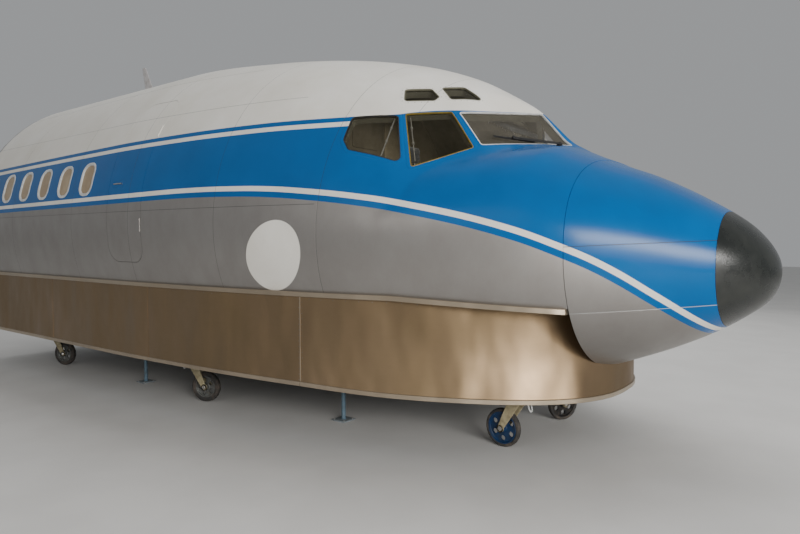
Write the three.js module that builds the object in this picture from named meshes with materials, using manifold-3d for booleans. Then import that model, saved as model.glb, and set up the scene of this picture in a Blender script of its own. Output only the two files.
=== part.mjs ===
// Forward fuselage section of a four-engined jet airliner of the 1960s, cut off behind the
// cockpit and the first cabin bays, as a museum shows it: on a skirted cradle with six swivel
// castors and four support legs. Units are millimetres. +X points to the nose, +Y to port,
// +Z up, and the origin is on the floor under the middle of the section.
import * as THREE from 'three';
import { mergeVertices } from 'three/addons/utils/BufferGeometryUtils.js';
import Module from 'manifold-3d';

const wasm = await Module();
wasm.setup();

// Driving dimensions
const LENGTH = 9200; // nose tip to the cut at the rear
const HULL_RADIUS = 1880; // round upper lobe of the cabin
const HULL_MID_Z = 1820; // height of its centre above the floor
const WALL = 90; // skin, frames and lining together
const GAP = 0.3; // between pieces that touch
const RADOME_TIP_END = 325; // where the black cap ends, from the nose tip
const NOSE_END = 1150; // radome joint
const COCKPIT_END = 3900; // joint between cockpit and cabin
const CABIN_SPLIT = 6200; // joint between the two cabin bays
const CUT_Z = 1235; // where the lower lobe is cut away
const CUT_FRONT_Z = 1174; // the same cut at the radome joint
const CUT_BEND = 2350; // the cut droops forward of this station
const SKIRT_BOTTOM_Z = 470;
const SKIRT_FRONT_Z = 425; // the bottom edge droops to this at the prow
const SKIRT_DROOP_END = 3100;
const SKIRT_TIP = 1072; // station of the prow
const SKIRT_OUT = 12; // how far the skirt stands out of the hull's side at the cut
const SKIRT_WALL = 25;
// The prow widens as a power of the distance from its tip, then follows the hull
const PROW_WIDTH = 1305; // half width it would have one metre behind the tip
const PROW_POWER = 0.4;
const PROW_BLEND = 50; // how sharply one runs into the other
const PROW_END = 2600;
const GLASS = 24;

// Hull sections: station from the nose tip, top, bottom, half width, height of the widest
// point, and the powers of the upper and lower halves (2 is an ellipse)
const STATIONS = [
  { s: 0, top: 1428, bottom: 1424, half: 4, mid: 1426, up: 2.2, low: 2.0 },
  { s: 50, top: 1590, bottom: 1245, half: 225, mid: 1430, up: 2.2, low: 2.0 },
  { s: 190, top: 1758, bottom: 1112, half: 415, mid: 1445, up: 2.3, low: 2.0 },
  { s: 440, top: 1930, bottom: 948, half: 635, mid: 1475, up: 2.4, low: 2.0 },
  { s: 875, top: 2160, bottom: 742, half: 945, mid: 1540, up: 2.5, low: 2.1 },
  { s: 1150, top: 2275, bottom: 640, half: 1110, mid: 1580, up: 2.5, low: 2.1 },
  { s: 1480, top: 2490, bottom: 565, half: 1265, mid: 1610, up: 2.0, low: 2.1 },
  { s: 1800, top: 2745, bottom: 510, half: 1380, mid: 1630, up: 1.72, low: 2.1 },
  { s: 2100, top: 2942, bottom: 460, half: 1470, mid: 1650, up: 1.68, low: 2.1 },
  { s: 2430, top: 3125, bottom: 400, half: 1555, mid: 1670, up: 1.75, low: 2.1 },
  { s: 2900, top: 3300, bottom: 320, half: 1655, mid: 1700, up: 1.9, low: 2.1 },
  { s: 3700, top: 3480, bottom: 200, half: 1780, mid: 1750, up: 2.0, low: 2.0 },
  { s: 4600, top: 3605, bottom: 80, half: 1850, mid: 1795, up: 2.0, low: 2.0 },
  { s: 5800, top: 3700, bottom: -60, half: HULL_RADIUS, mid: HULL_MID_Z, up: 2.0, low: 2.0 },
];

// Nose deck below the cockpit windows: its top and the power of its upper half
const DECK = [
  { s: 1150, top: 2275, up: 2.5 },
  { s: 1300, top: 2338, up: 2.5 },
  { s: 1480, top: 2408, up: 2.5 },
  { s: 1700, top: 2420, up: 2.5 },
  { s: 2200, top: 2440, up: 2.4 },
  { s: 2900, top: 2440, up: 2.2 },
];

// Cockpit windows of the port side: corners as station, distance from the centre line, height
const WINDOWS = {
  windshield: [[1526, 70, 2424], [1814, 25, 2733], [2150, 812, 2675], [1918, 872, 2384]],
  side_window_2: [[1965, 927, 2361], [2206, 858, 2675], [2492, 1080, 2657], [2287, 1286, 2206]],
  side_window_3: [[2370, 1322, 2242], [2543, 1124, 2641], [2869, 1294, 2636], [2849, 1422, 2441],
    [2780, 1446, 2359]],
  eyebrow_front: [[2287, 733, 2807], [2427, 657, 2929], [2312, 488, 2950], [2126, 506, 2823]],
  eyebrow_rear: [[2574, 988, 2784], [2643, 884, 2903], [2482, 738, 2911], [2378, 783, 2827],
    [2383, 843, 2789]],
};
const FACETS = ['windshield', 'side_window_2']; // their planes cut the hull flat

// Castors: station of the swivels, and on each side their distance from the centre line and
// the heading of the trail, in degrees counter-clockwise from the nose
const CASTORS = {
  front: { station: 1660, left: { y: 440, heading: 241 }, right: { y: 705, heading: 175 } },
  middle: { station: 5020, left: { y: 1350, heading: 23 }, right: { y: 1350, heading: 23 } },
  rear: { station: 8100, left: { y: 1350, heading: 23 }, right: { y: 1350, heading: 23 } },
};
const TRAIL = 150; // swivel axis to wheel axle
const WHEEL_RADIUS = 155;
const HUB_HALF = 38; // half width of the wheel at its hub
const AXLE_RADIUS = 12;
const LEGS = { front: { station: 3320, y: 930 }, rear: { station: 6190, y: 1190 } };
const BEAM_Z = 540; // underside of the cradle's beams
const RAIL = { y: 900, width: 120, height: 140, from: 1615, to: 9100 };
const SADDLE_WALL = 80;
const SADDLES = { 1: 1660, 2: 3320, 3: 5020, 4: 6190, 5: 8100 };
const LEDGE_DEPTH = 40;
const LEDGE_OUT = 26;
const LIP_HEIGHT = 30;
const LIP_OUT = 12;
const SKIRT_JOINT = 3150; // between the forward and aft skirt sheets
const PROW_HALF = 560; // half width of the sheet that closes the prow
const FLOOR_Z = 1330; // cockpit floor
const DOOR_SILL_Z = 1430;
const DOORS = {
  entry_door_port: { side: 1, from: 4350, to: 5210, height: 1830 },
  service_door_starboard: { side: -1, from: 5080, to: 5690, height: 1650 },
};
const BULKHEAD_WALL = 60;
const SEAT = { station: 2600, y: 530 };
// Wiper on its windshield: distance outboard and upward from the window's middle
const WIPER = { foot: [-309, -221], joint: [96, -148], inner: [-100, -177], outer: [269, -121] };
// Swept blade antenna on the crown: foot and tip, front and rear station and half thickness
const ANTENNA = {
  foot: { front: 7823, rear: 8063, half: 14 },
  tip: { front: 8092, rear: 8184, half: 8 },
  height: 488,
};

// Materials
const paint = (color, roughness, metalness) => (
  new THREE.MeshStandardMaterial({ color, roughness, metalness }));
const black = paint(0x17181a, 0.45, 0.0);
const blue = paint(0x0064aa, 0.35, 0.0);
const silver = paint(0x9b9a9b, 0.35, 0.8);
const skirtSilver = paint(0xa29c95, 0.4, 0.7);
const glassDark = paint(0x27302c, 0.08, 0.0);
const cream = paint(0xcfc8ac, 0.5, 0.1);
const steel = paint(0x4b5358, 0.5, 0.5);
const tyreRubber = paint(0x232323, 0.8, 0.0);
const legBlue = paint(0x5d6f7c, 0.5, 0.3);
const seatCloth = paint(0x3b4247, 0.9, 0.0);
const panelGrey = paint(0x4c5052, 0.6, 0.1);
const floorGrey = paint(0x6b6d6b, 0.7, 0.0);
const antennaGrey = paint(0xb4b0b2, 0.4, 0.0);

const xAt = (s) => LENGTH / 2 - s;

// Smooth value of one column of a table at station s, with no overshoot between its rows
function column(key, s, rows = STATIONS) {
  const last = rows.length - 1;
  if (s >= rows[last].s) return rows[last][key];
  const u = rows.map((row) => Math.sqrt(row.s));
  const v = rows.map((row) => row[key]);
  const slope = (i) => (v[i + 1] - v[i]) / (u[i + 1] - u[i]);
  const tangent = (i) => {
    if (i === 0) return slope(0);
    if (i === last) return 0;
    const [a, b] = [slope(i - 1), slope(i)];
    return a * b <= 0 ? 0 : (2 * a * b) / (a + b);
  };
  const at = Math.sqrt(Math.max(s, 0));
  let i = 0;
  while (i < last - 1 && at > u[i + 1]) i += 1;
  const h = u[i + 1] - u[i];
  const t = (at - u[i]) / h;
  return v[i] * (1 + 2 * t) * (1 - t) ** 2 + v[i + 1] * t * t * (3 - 2 * t)
    + h * t * (1 - t) * (tangent(i) * (1 - t) - tangent(i + 1) * t);
}

// One ring of the hull at station s, drawn in by inset, with its upper half from the table given
function hullRing(s, inset, steps, upper = STATIONS) {
  const half = column('half', s) - inset;
  const mid = column('mid', s);
  const up = column('top', s, upper) - mid - inset;
  const low = mid - column('bottom', s) - inset;
  const ring = [];
  for (let i = 0; i < steps; i += 1) {
    const a = (i / steps) * Math.PI * 2;
    const [c, d] = [Math.cos(a), Math.sin(a)];
    const power = 2 / (d >= 0 ? column('up', s, upper) : column('low', s));
    const y = half * Math.sign(c) * Math.abs(c) ** power;
    const z = mid + (d >= 0 ? up : low) * Math.sign(d) * Math.abs(d) ** power;
    ring.push([xAt(s), y, z]);
  }
  return ring;
}

// Closed mesh through rings of equal count, with a fan over each end
function loft(rings) {
  const count = rings[0].length;
  const centre = (ring) => [0, 1, 2].map((k) => ring.reduce((sum, p) => sum + p[k], 0) / count);
  const points = [...rings.flat(), centre(rings[0]), centre(rings[rings.length - 1])];
  const first = rings.length * count;
  const index = [];
  for (let j = 0; j < rings.length - 1; j += 1) {
    for (let i = 0; i < count; i += 1) {
      const k = (i + 1) % count;
      const [a, b, c, d] = [j * count + i, j * count + k, (j + 1) * count + k, (j + 1) * count + i];
      index.push(a, d, c, a, c, b);
    }
  }
  for (let i = 0; i < count; i += 1) {
    const k = (i + 1) % count;
    index.push(first, i, k);
    index.push(first + 1, (rings.length - 1) * count + k, (rings.length - 1) * count + i);
  }
  const geometry = new THREE.BufferGeometry();
  geometry.setAttribute('position', new THREE.Float32BufferAttribute(points.flat(), 3));
  geometry.setIndex(index);
  return geometry;
}

function toSolid(geometry) {
  const bare = geometry.clone();
  bare.deleteAttribute('normal');
  bare.deleteAttribute('uv');
  const merged = mergeVertices(bare, 1e-3);
  const mesh = new wasm.Mesh({
    numProp: 3,
    vertProperties: new Float32Array(merged.attributes.position.array),
    triVerts: new Uint32Array(merged.index.array),
  });
  const solid = new wasm.Manifold(mesh);
  return solid.volume() < 0 ? flipped(merged) : solid;
}

// The same solid with its faces turned to point out
function flipped(merged) {
  const order = Array.from(merged.index.array);
  for (let i = 0; i < order.length; i += 3) {
    [order[i + 1], order[i + 2]] = [order[i + 2], order[i + 1]];
  }
  return new wasm.Manifold(new wasm.Mesh({
    numProp: 3,
    vertProperties: new Float32Array(merged.attributes.position.array),
    triVerts: new Uint32Array(order),
  }));
}

function toGeometry(solid) {
  const mesh = solid.getMesh();
  const geometry = new THREE.BufferGeometry();
  geometry.setAttribute('position', new THREE.Float32BufferAttribute(mesh.vertProperties, 3));
  geometry.setIndex(Array.from(mesh.triVerts));
  return geometry;
}

// Box from its low and high corners
function block(low, high) {
  const size = low.map((v, k) => high[k] - v);
  const geometry = new THREE.BoxGeometry(...size);
  geometry.translate(...low.map((v, k) => (v + high[k]) / 2));
  return toSolid(geometry);
}

// Cylinder between two points
function rod(from, to, radius, sides = 24) {
  const [a, b] = [new THREE.Vector3(...from), new THREE.Vector3(...to)];
  const length = a.distanceTo(b);
  const geometry = new THREE.CylinderGeometry(radius, radius, length, sides);
  const turn = new THREE.Quaternion().setFromUnitVectors(
    new THREE.Vector3(0, 1, 0), b.clone().sub(a).normalize());
  geometry.applyQuaternion(turn);
  geometry.translate(...a.add(b).multiplyScalar(0.5).toArray());
  return toSolid(geometry);
}

// Outline in the XY plane, extruded from low to high
function plate(outline, low, high) {
  const shape = new THREE.Shape(outline.map(([x, y]) => new THREE.Vector2(x, y)));
  const geometry = new THREE.ExtrudeGeometry(shape, { depth: high - low, bevelEnabled: false });
  geometry.translate(0, 0, low);
  return toSolid(geometry);
}

// Outline in the XZ plane, extruded along Y between two values
function sidePlate(outline, low, high) {
  const shape = new THREE.Shape(outline.map(([x, z]) => new THREE.Vector2(x, z)));
  const geometry = new THREE.ExtrudeGeometry(shape, { depth: high - low, bevelEnabled: false });
  geometry.rotateX(Math.PI / 2);
  geometry.translate(0, high, 0);
  return toSolid(geometry);
}

const mirrored = (solid) => solid.mirror([0, 1, 0]);

// Stations of a stretch of hull: every row of the table in it, and steps between them
function stretch(from, to, step) {
  const inner = STATIONS.map((row) => row.s).filter((s) => s > from + 20 && s < to - 20);
  const marks = [from, ...inner, to];
  const stations = [from];
  for (let i = 1; i < marks.length; i += 1) {
    const count = Math.max(1, Math.round((marks[i] - marks[i - 1]) / step));
    for (let k = 1; k <= count; k += 1) {
      stations.push(marks[i - 1] + ((marks[i] - marks[i - 1]) * k) / count);
    }
  }
  return stations;
}

const hull = (from, to, inset, step, sides, upper) => (
  toSolid(loft(stretch(from, to, step).map((s) => hullRing(s, inset, sides, upper)))));

// What lies below the cut, less or more by shift
function belowCut(shift) {
  const [front, rear] = [xAt(-100), xAt(LENGTH + 100)];
  return sidePlate([
    [front, -500], [front, CUT_FRONT_Z + shift], [xAt(NOSE_END), CUT_FRONT_Z + shift],
    [xAt(CUT_BEND), CUT_Z + shift], [rear, CUT_Z + shift], [rear, -500],
  ], -2500, 2500);
}

const windowPoint = ([s, y, z]) => new THREE.Vector3(xAt(s), y, z);

// Axes of a window: its middle, outward normal and two directions in its plane
function windowFrame(corners) {
  const points = corners.map(windowPoint);
  const middle = points.reduce((sum, p) => sum.add(p), new THREE.Vector3())
    .multiplyScalar(1 / points.length);
  const normal = new THREE.Vector3();
  points.forEach((p, i) => {
    const q = points[(i + 1) % points.length];
    normal.add(p.clone().sub(middle).cross(q.clone().sub(middle)));
  });
  normal.normalize();
  if (normal.y < 0) normal.negate();
  const along = new THREE.Vector3(0, 0, 1).cross(normal).normalize();
  const up = normal.clone().cross(along);
  return { points, middle, normal, along, up };
}

// Prism through a window, grown by margin and reaching from inner to outer along the normal
function windowPrism(corners, margin, inner, outer) {
  const { points, middle, normal, along, up } = windowFrame(corners);
  const flat = points.map((p) => {
    const q = p.clone().sub(middle);
    const v = new THREE.Vector2(q.dot(along), q.dot(up));
    return v.multiplyScalar(1 + margin / v.length());
  });
  const geometry = new THREE.ExtrudeGeometry(new THREE.Shape(flat),
    { depth: outer - inner, bevelEnabled: false });
  geometry.translate(0, 0, inner);
  const turn = new THREE.Matrix4().makeBasis(along, up, normal);
  geometry.applyMatrix4(turn);
  geometry.translate(...middle.toArray());
  return toSolid(geometry);
}

// All that lies outside the plane of a window, drawn in by inset
function outsidePlane(corners, inset) {
  const { middle, normal, along, up } = windowFrame(corners);
  const geometry = new THREE.BoxGeometry(9000, 9000, 3000);
  geometry.translate(0, 0, 1500 - inset);
  geometry.applyMatrix4(new THREE.Matrix4().makeBasis(along, up, normal));
  geometry.translate(...middle.toArray());
  return toSolid(geometry);
}

// Cockpit body drawn in by inset: a canopy cut flat at the front windows, on the nose deck
function cockpitBody(from, to, inset, step, sides) {
  let canopy = hull(from, to, inset, step, sides);
  for (const name of FACETS) {
    const outside = outsidePlane(WINDOWS[name], inset);
    canopy = canopy.subtract(outside).subtract(mirrored(outside));
  }
  const deckEnd = DECK[DECK.length - 1].s;
  return canopy.add(hull(from, deckEnd, inset, step, sides, DECK));
}

const model = new THREE.Group();

function add(name, solid, material) {
  const mesh = new THREE.Mesh(toGeometry(solid), material);
  mesh.name = name;
  model.add(mesh);
}

function addPair(name, solid, material) {
  add(`${name}_left`, solid, material);
  add(`${name}_right`, mirrored(solid), material);
}

// Nose: black cap and painted radome
add('radome_tip', hull(0, RADOME_TIP_END - GAP, 0, 70, 32), black);
add('radome', hull(RADOME_TIP_END, NOSE_END - GAP, 0, 200, 40), blue);

// Cockpit: hollow shell with its windows cut
const cockpitOuter = cockpitBody(NOSE_END, COCKPIT_END - GAP, 0, 150, 48);
const cockpitSpace = (inset) => cockpitBody(NOSE_END - 60, COCKPIT_END + 60, inset, 240, 40);
let cockpitShell = cockpitOuter.subtract(cockpitSpace(WALL)).subtract(belowCut(0));
for (const corners of Object.values(WINDOWS)) {
  const hole = windowPrism(corners, 0, -WALL * 2.4, 200);
  cockpitShell = cockpitShell.subtract(hole).subtract(mirrored(hole));
}
add('cockpit_shell', cockpitShell, blue);

const glassOuter = cockpitBody(NOSE_END, COCKPIT_END - GAP, 12, 150, 48);
const glassInner = cockpitBody(NOSE_END - 60, COCKPIT_END + 60, 12 + GLASS, 150, 48);
const glassLayer = glassOuter.subtract(glassInner);
for (const [name, corners] of Object.entries(WINDOWS)) {
  const reach = FACETS.includes(name) ? 60 : 110;
  const pane = glassLayer.intersect(windowPrism(corners, -GAP * 2, -reach, reach));
  addPair(name, pane, glassDark);
}


const throughWall = cockpitSpace(WALL + GAP)
  .intersect(block([xAt(COCKPIT_END) + GAP * 2, -2000, 0], [xAt(NOSE_END), 2000, 4000]));

// Pressure floor under the crew, cut like the shell
const floorSlab = block([xAt(COCKPIT_END), -2000, 1000], [xAt(NOSE_END), 2000, FLOOR_Z]);
add('cockpit_floor', throughWall.intersect(floorSlab).subtract(belowCut(0)), floorGrey);

// Rounded rectangle seen from the side, extruded along Y
function doorPrism({ side, from, to, height }, shrink) {
  const r = 160 - shrink;
  const [x0, x1] = [xAt(to) + shrink, xAt(from) - shrink];
  const [z0, z1] = [DOOR_SILL_Z + shrink, DOOR_SILL_Z + height - shrink];
  const outline = [];
  const corners = [[x1 - r, z1 - r, 0], [x0 + r, z1 - r, 90], [x0 + r, z0 + r, 180],
    [x1 - r, z0 + r, 270]];
  for (const [x, z, start] of corners) {
    for (let k = 0; k <= 4; k += 1) {
      const a = ((start + k * 22.5) * Math.PI) / 180;
      outline.push([x + r * Math.cos(a), z + r * Math.sin(a)]);
    }
  }
  return side > 0 ? sidePlate(outline, 500, 2200) : sidePlate(outline, -2200, -500);
}

// Cabin bays: closed, with a pocket for each plug door
let cabinForward = hull(COCKPIT_END, CABIN_SPLIT - GAP, 0, 400, 48).subtract(belowCut(0));
const cabinCore = hull(COCKPIT_END - 60, CABIN_SPLIT + 60, WALL + GAP, 400, 48);
const doorLayer = hull(COCKPIT_END, CABIN_SPLIT, 0, 400, 48)
  .subtract(hull(COCKPIT_END - 60, CABIN_SPLIT + 60, WALL, 400, 48));
for (const [name, door] of Object.entries(DOORS)) {
  cabinForward = cabinForward.subtract(doorPrism(door, 0).subtract(cabinCore));
  add(name, doorLayer.intersect(doorPrism(door, GAP)), silver);
}
add('cabin_forward', cabinForward, silver);
const cabinEnd = LENGTH - BULKHEAD_WALL;
add('cabin_aft', hull(CABIN_SPLIT, cabinEnd - GAP, 0, 1500, 48).subtract(belowCut(0)), silver);

// Half width of the hull where the cut ends it
function cutHalf(s) {
  const droop = Math.max(0, (CUT_BEND - s) / (CUT_BEND - NOSE_END));
  const cut = CUT_Z + (CUT_FRONT_Z - CUT_Z) * droop;
  const depth = (column('mid', s) - cut) / (column('mid', s) - column('bottom', s));
  const power = column('low', s);
  return column('half', s) * (1 - depth ** power) ** (1 / power);
}

// Half width of the skirt: the rounded prow in front, the hull's side behind it
function skirtHalf(s) {
  const prow = PROW_WIDTH * (Math.max(s - SKIRT_TIP, 0) / 1000) ** PROW_POWER;
  const side = cutHalf(s) + SKIRT_OUT;
  const blended = (prow ** -PROW_BLEND + side ** -PROW_BLEND) ** (-1 / PROW_BLEND);
  return prow === 0 ? 0 : blended;
}

// Plan outline given by stations and half widths, grown outward
function planOutline(stations, halfAt, grow) {
  const port = stations.map((s) => [xAt(s), halfAt(s)]);
  const grown = port.map(([x, y], i) => {
    const next = port[Math.min(i + 1, port.length - 1)];
    const last = i > 0 ? port[i - 1] : [next[0], -next[1]];
    const [dx, dy] = [next[0] - last[0], next[1] - last[1]];
    const length = Math.hypot(dx, dy);
    return [x + (dy / length) * grow, y - (dx / length) * grow];
  });
  grown[grown.length - 1][0] = xAt(cabinEnd) + GAP;
  const starboard = grown.map(([x, y]) => [x, -y]).reverse();
  return grown[0][1] < 1 ? [...starboard, ...grown.slice(1)] : [...starboard, ...grown];
}

const sideStations = (from, step) => {
  const count = Math.round((cabinEnd - from) / step);
  return Array.from({ length: count + 1 }, (_, k) => from + ((cabinEnd - from) * k) / count);
};

function skirtPlan(grow) {
  const steps = 16;
  const prow = Array.from({ length: steps }, (_, k) => (
    SKIRT_TIP + (PROW_END - SKIRT_TIP) * (k / steps) ** (1 / PROW_POWER)));
  return planOutline([...prow, ...sideStations(PROW_END, 430)], skirtHalf, grow);
}

// Sheet that follows the skirt's plan, from inside to outside and low to high
function skirtBand(inside, outside, low, high) {
  const core = skirtPlan(inside);
  core[0][0] -= 100;
  core[core.length - 1][0] -= 100;
  return plate(skirtPlan(outside), low, high).subtract(plate(core, low - 10, high + 10));
}

const radomeGrown = hull(0, NOSE_END, -GAP * 4, 100, 40);
const skirtTop = belowCut(-LEDGE_DEPTH - GAP);
const FAR = 5000;
// What lies below the skirt's bottom edge, raised by shift
const belowSkirt = (shift) => sidePlate([
  [-FAR, 0], [FAR, 0], [FAR, SKIRT_FRONT_Z + shift], [xAt(SKIRT_TIP), SKIRT_FRONT_Z + shift],
  [xAt(SKIRT_DROOP_END), SKIRT_BOTTOM_Z + shift], [-FAR, SKIRT_BOTTOM_Z + shift],
], -2500, 2500);
const skirt = skirtBand(-SKIRT_WALL, 0, SKIRT_FRONT_Z - 10, CUT_Z)
  .add(skirtBand(-SKIRT_WALL, LIP_OUT, SKIRT_FRONT_Z - 10, 600).intersect(belowSkirt(LIP_HEIGHT)))
  .subtract(belowSkirt(0)).intersect(skirtTop).subtract(radomeGrown);
const portHalf = block([-FAR, GAP / 2, -FAR], [FAR, FAR, FAR]);
const prowBlock = block([xAt(1800), -PROW_HALF, -FAR], [FAR, PROW_HALF, FAR]);
const beyondProw = block([xAt(1800), -PROW_HALF - GAP, -FAR], [FAR, PROW_HALF + GAP, FAR]);
const sideSheets = skirt.subtract(beyondProw).intersect(portHalf);
const joint = xAt(SKIRT_JOINT);
addPair('skirt_forward', sideSheets.intersect(block([joint, 0, -FAR], [FAR, FAR, FAR])), skirtSilver);
addPair('skirt_aft',
  sideSheets.intersect(block([-FAR, 0, -FAR], [joint - GAP, FAR, FAR])), skirtSilver);
add('skirt_prow', skirt.intersect(prowBlock), skirtSilver);

// Ledge between hull and skirt
const ledgeLayer = belowCut(-GAP).subtract(belowCut(-LEDGE_DEPTH));
const insideLedge = (more) => plate(
  skirtPlan(-80 - more).map(([x, y]) => [x - 60 - more, y]), 900, 1400);
const ledgeOutline = planOutline(sideStations(NOSE_END + 10, 250), cutHalf, LEDGE_OUT);
const ledgePlan = plate(ledgeOutline, 1000, 1300).subtract(insideLedge(0));
const behindRadome = block([-FAR, -FAR, -FAR], [xAt(NOSE_END + 10), FAR, FAR]);
addPair('ledge', ledgePlan.intersect(ledgeLayer).intersect(behindRadome).intersect(portHalf),
  skirtSilver);

// Rear bulkhead, closing the hull and the skirt behind
const bulkheadHull = hull(cabinEnd, LENGTH, 0, 1000, 48).subtract(belowCut(0));
const rearHalf = skirtHalf(LENGTH);
const bulkheadSkirt = block([xAt(LENGTH), -rearHalf, SKIRT_BOTTOM_Z],
  [xAt(cabinEnd), rearHalf, CUT_Z + 1]);
add('rear_bulkhead', bulkheadHull.add(bulkheadSkirt), silver);

// Cradle: two rails and five saddles notched over them
const railTop = BEAM_Z + RAIL.height;
addPair('cradle_rail', block([xAt(RAIL.to), RAIL.y - RAIL.width / 2, BEAM_Z],
  [xAt(RAIL.from), RAIL.y + RAIL.width / 2, railTop]), steel);
const skirtInside = plate(skirtPlan(-SKIRT_WALL - GAP), 0, 1500);
for (const [number, station] of Object.entries(SADDLES)) {
  const [x0, x1] = [xAt(station) - SADDLE_WALL / 2, xAt(station) + SADDLE_WALL / 2];
  let saddle = block([x0, -rearHalf, BEAM_Z], [x1, rearHalf, CUT_Z])
    .intersect(skirtInside).intersect(belowCut(-LEDGE_DEPTH - GAP));
  const core = block([x0, -1650, 950], [x1, 1650, CUT_Z]).intersect(belowCut(-GAP))
    .intersect(insideLedge(5));
  saddle = saddle.add(core);
  for (const side of [-1, 1]) {
    saddle = saddle.subtract(block(
      [x0 - 10, side * RAIL.y - RAIL.width / 2 - GAP, BEAM_Z - 10],
      [x1 + 10, side * RAIL.y + RAIL.width / 2 + GAP, railTop + GAP]));
  }
  add(`saddle_${number}`, saddle, steel);
}

// Support legs with square foot plates
const LEG_RADIUS = 21;
const FOOT = { half: 78, height: 12 };
for (const [place, { station, y }] of Object.entries(LEGS)) {
  const x = xAt(station);
  const tube = rod([x, y, FOOT.height - 1], [x, y, BEAM_Z - GAP], LEG_RADIUS, 20);
  const foot = block([x - FOOT.half, y - FOOT.half, 0], [x + FOOT.half, y + FOOT.half, FOOT.height]);
  addPair(`leg_${place}`, tube.add(foot), legBlue);
}

// Castor: fork and wheel around the swivel axis, trailing along +X
function castorFork() {
  const cheekIn = HUB_HALF + 5;
  const cheekOut = cheekIn + 10;
  const head = rod([0, 0, 450], [0, 0, BEAM_Z - GAP], 48, 16);
  const crown = block([-55, -cheekOut, 445], [60, cheekOut, 465]);
  const cheek = sidePlate([[-50, 450], [55, 450], [TRAIL + 26, WHEEL_RADIUS + 12],
    [TRAIL + 18, WHEEL_RADIUS - 24], [TRAIL - 18, WHEEL_RADIUS - 24],
    [TRAIL - 30, WHEEL_RADIUS + 10]], cheekIn, cheekOut);
  const axle = rod([TRAIL, -cheekOut - 8, WHEEL_RADIUS], [TRAIL, cheekOut + 8, WHEEL_RADIUS],
    AXLE_RADIUS, 12);
  return head.add(crown).add(cheek).add(mirrored(cheek)).add(axle);
}

function castorWheel() {
  const bore = AXLE_RADIUS + 0.6;
  const half = [[bore, HUB_HALF], [36, HUB_HALF], [104, 16], [110, 31], [WHEEL_RADIUS, 20]];
  const profile = [...half, ...half.map(([r, y]) => [r, -y]).reverse()];
  profile.push(profile[0]);
  const geometry = new THREE.LatheGeometry(profile.map(([r, y]) => new THREE.Vector2(r, y)), 20);
  geometry.translate(TRAIL, 0, WHEEL_RADIUS);
  return toSolid(geometry);
}

for (const [place, castor] of Object.entries(CASTORS)) {
  for (const [sideName, side] of [['left', 1], ['right', -1]]) {
    const { y, heading } = castor[sideName];
    const at = [xAt(castor.station), side * y, 0];
    const turn = [0, 0, heading];
    add(`castor_fork_${place}_${sideName}`, castorFork().rotate(turn).translate(at), cream);
    add(`castor_wheel_${place}_${sideName}`, castorWheel().rotate(turn).translate(at), tyreRubber);
  }
}

// Blade antenna, lens-shaped in section
function bladeRing({ front, rear, half }, z) {
  const count = 16;
  return Array.from({ length: count }, (_, i) => {
    const a = (i / count) * Math.PI * 2;
    const along = (front + rear) / 2 - ((rear - front) / 2) * Math.cos(a);
    return [xAt(along), half * Math.sin(a), z];
  });
}

const crown = column('top', ANTENNA.foot.front) + GAP;
add('crown_antenna', toSolid(loft([bladeRing(ANTENNA.foot, crown),
  bladeRing(ANTENNA.tip, crown + ANTENNA.height)])), antennaGrey);

// Cockpit furniture seen through the windows
const seatX = xAt(SEAT.station);
const seat = block([seatX - 150, SEAT.y - 150, FLOOR_Z + GAP], [seatX + 150, SEAT.y + 150, 1640])
  .add(block([seatX - 230, SEAT.y - 240, 1635], [seatX + 250, SEAT.y + 240, 1760]))
  .add(block([seatX - 300, SEAT.y - 230, 1640], [seatX - 200, SEAT.y + 230, 2340]))
  .add(block([seatX - 290, SEAT.y - 130, 2330], [seatX - 210, SEAT.y + 130, 2500]));
addPair('pilot_seat', seat, seatCloth);
const panel = sidePlate([[xAt(1960), 2270], [xAt(2000), FLOOR_Z + GAP], [xAt(1900), FLOOR_Z + GAP],
  [xAt(1700), 2200], [xAt(1700), 2300], [xAt(2130), 2300], [xAt(2130), 2270]], -820, 820);
add('instrument_panel', panel.intersect(throughWall), panelGrey);
add('centre_pedestal',
  block([xAt(2900), -190, FLOOR_Z + GAP], [xAt(2002), 190, 1880]), panelGrey);
const yokeX = xAt(2230);
const controlColumn = rod([yokeX, SEAT.y, FLOOR_Z + GAP], [yokeX, SEAT.y, 2040], 28, 12)
  .add(rod([yokeX, SEAT.y, 2020], [yokeX - 110, SEAT.y, 2020], 22, 12))
  .add(block([yokeX - 125, SEAT.y - 170, 2000], [yokeX - 95, SEAT.y + 170, 2040]))
  .add(block([yokeX - 125, SEAT.y - 170, 2000], [yokeX - 95, SEAT.y - 140, 2150]))
  .add(block([yokeX - 125, SEAT.y + 140, 2000], [yokeX - 95, SEAT.y + 170, 2150]));
addPair('control_column', controlColumn, black);

// Wipers parked low on the windshields
function wiper() {
  const { middle, normal, along, up } = windowFrame(WINDOWS.windshield);
  const at = (a, u, n) => middle.clone().addScaledVector(along, a).addScaledVector(up, u)
    .addScaledVector(normal, n).toArray();
  const out = along.y > 0 ? 1 : -1; // away from the centre line
  const [foot, joint, inner, outer] = [WIPER.foot, WIPER.joint, WIPER.inner, WIPER.outer]
    .map(([a, u]) => [out * a, u]);
  const blade = 6 - 12 + GAP; // its middle, with the glass 12 mm under the hull's face
  const arm = rod(at(...foot, -40), at(...foot, 34), 16, 16)
    .add(rod(at(...foot, 26), at(...joint, 16), 6, 8))
    .subtract(cockpitBody(NOSE_END, COCKPIT_END, -GAP, 150, 48));
  return arm.add(rod(at(...joint, 16), at(...joint, blade), 6, 8))
    .add(rod(at(...inner, blade), at(...outer, blade), 6, 8));
}
addPair('wiper', wiper(), black);

export default model;
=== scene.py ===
# Looks of the museum nose section of a jet airliner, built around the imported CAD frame.
# Units are metres. +X points to the nose, +Y to port, +Z up, and the floor is at z 0. A station
# is the distance aft of the nose tip, and the starboard side is the one the photograph shows.
import math
from functools import reduce

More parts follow.
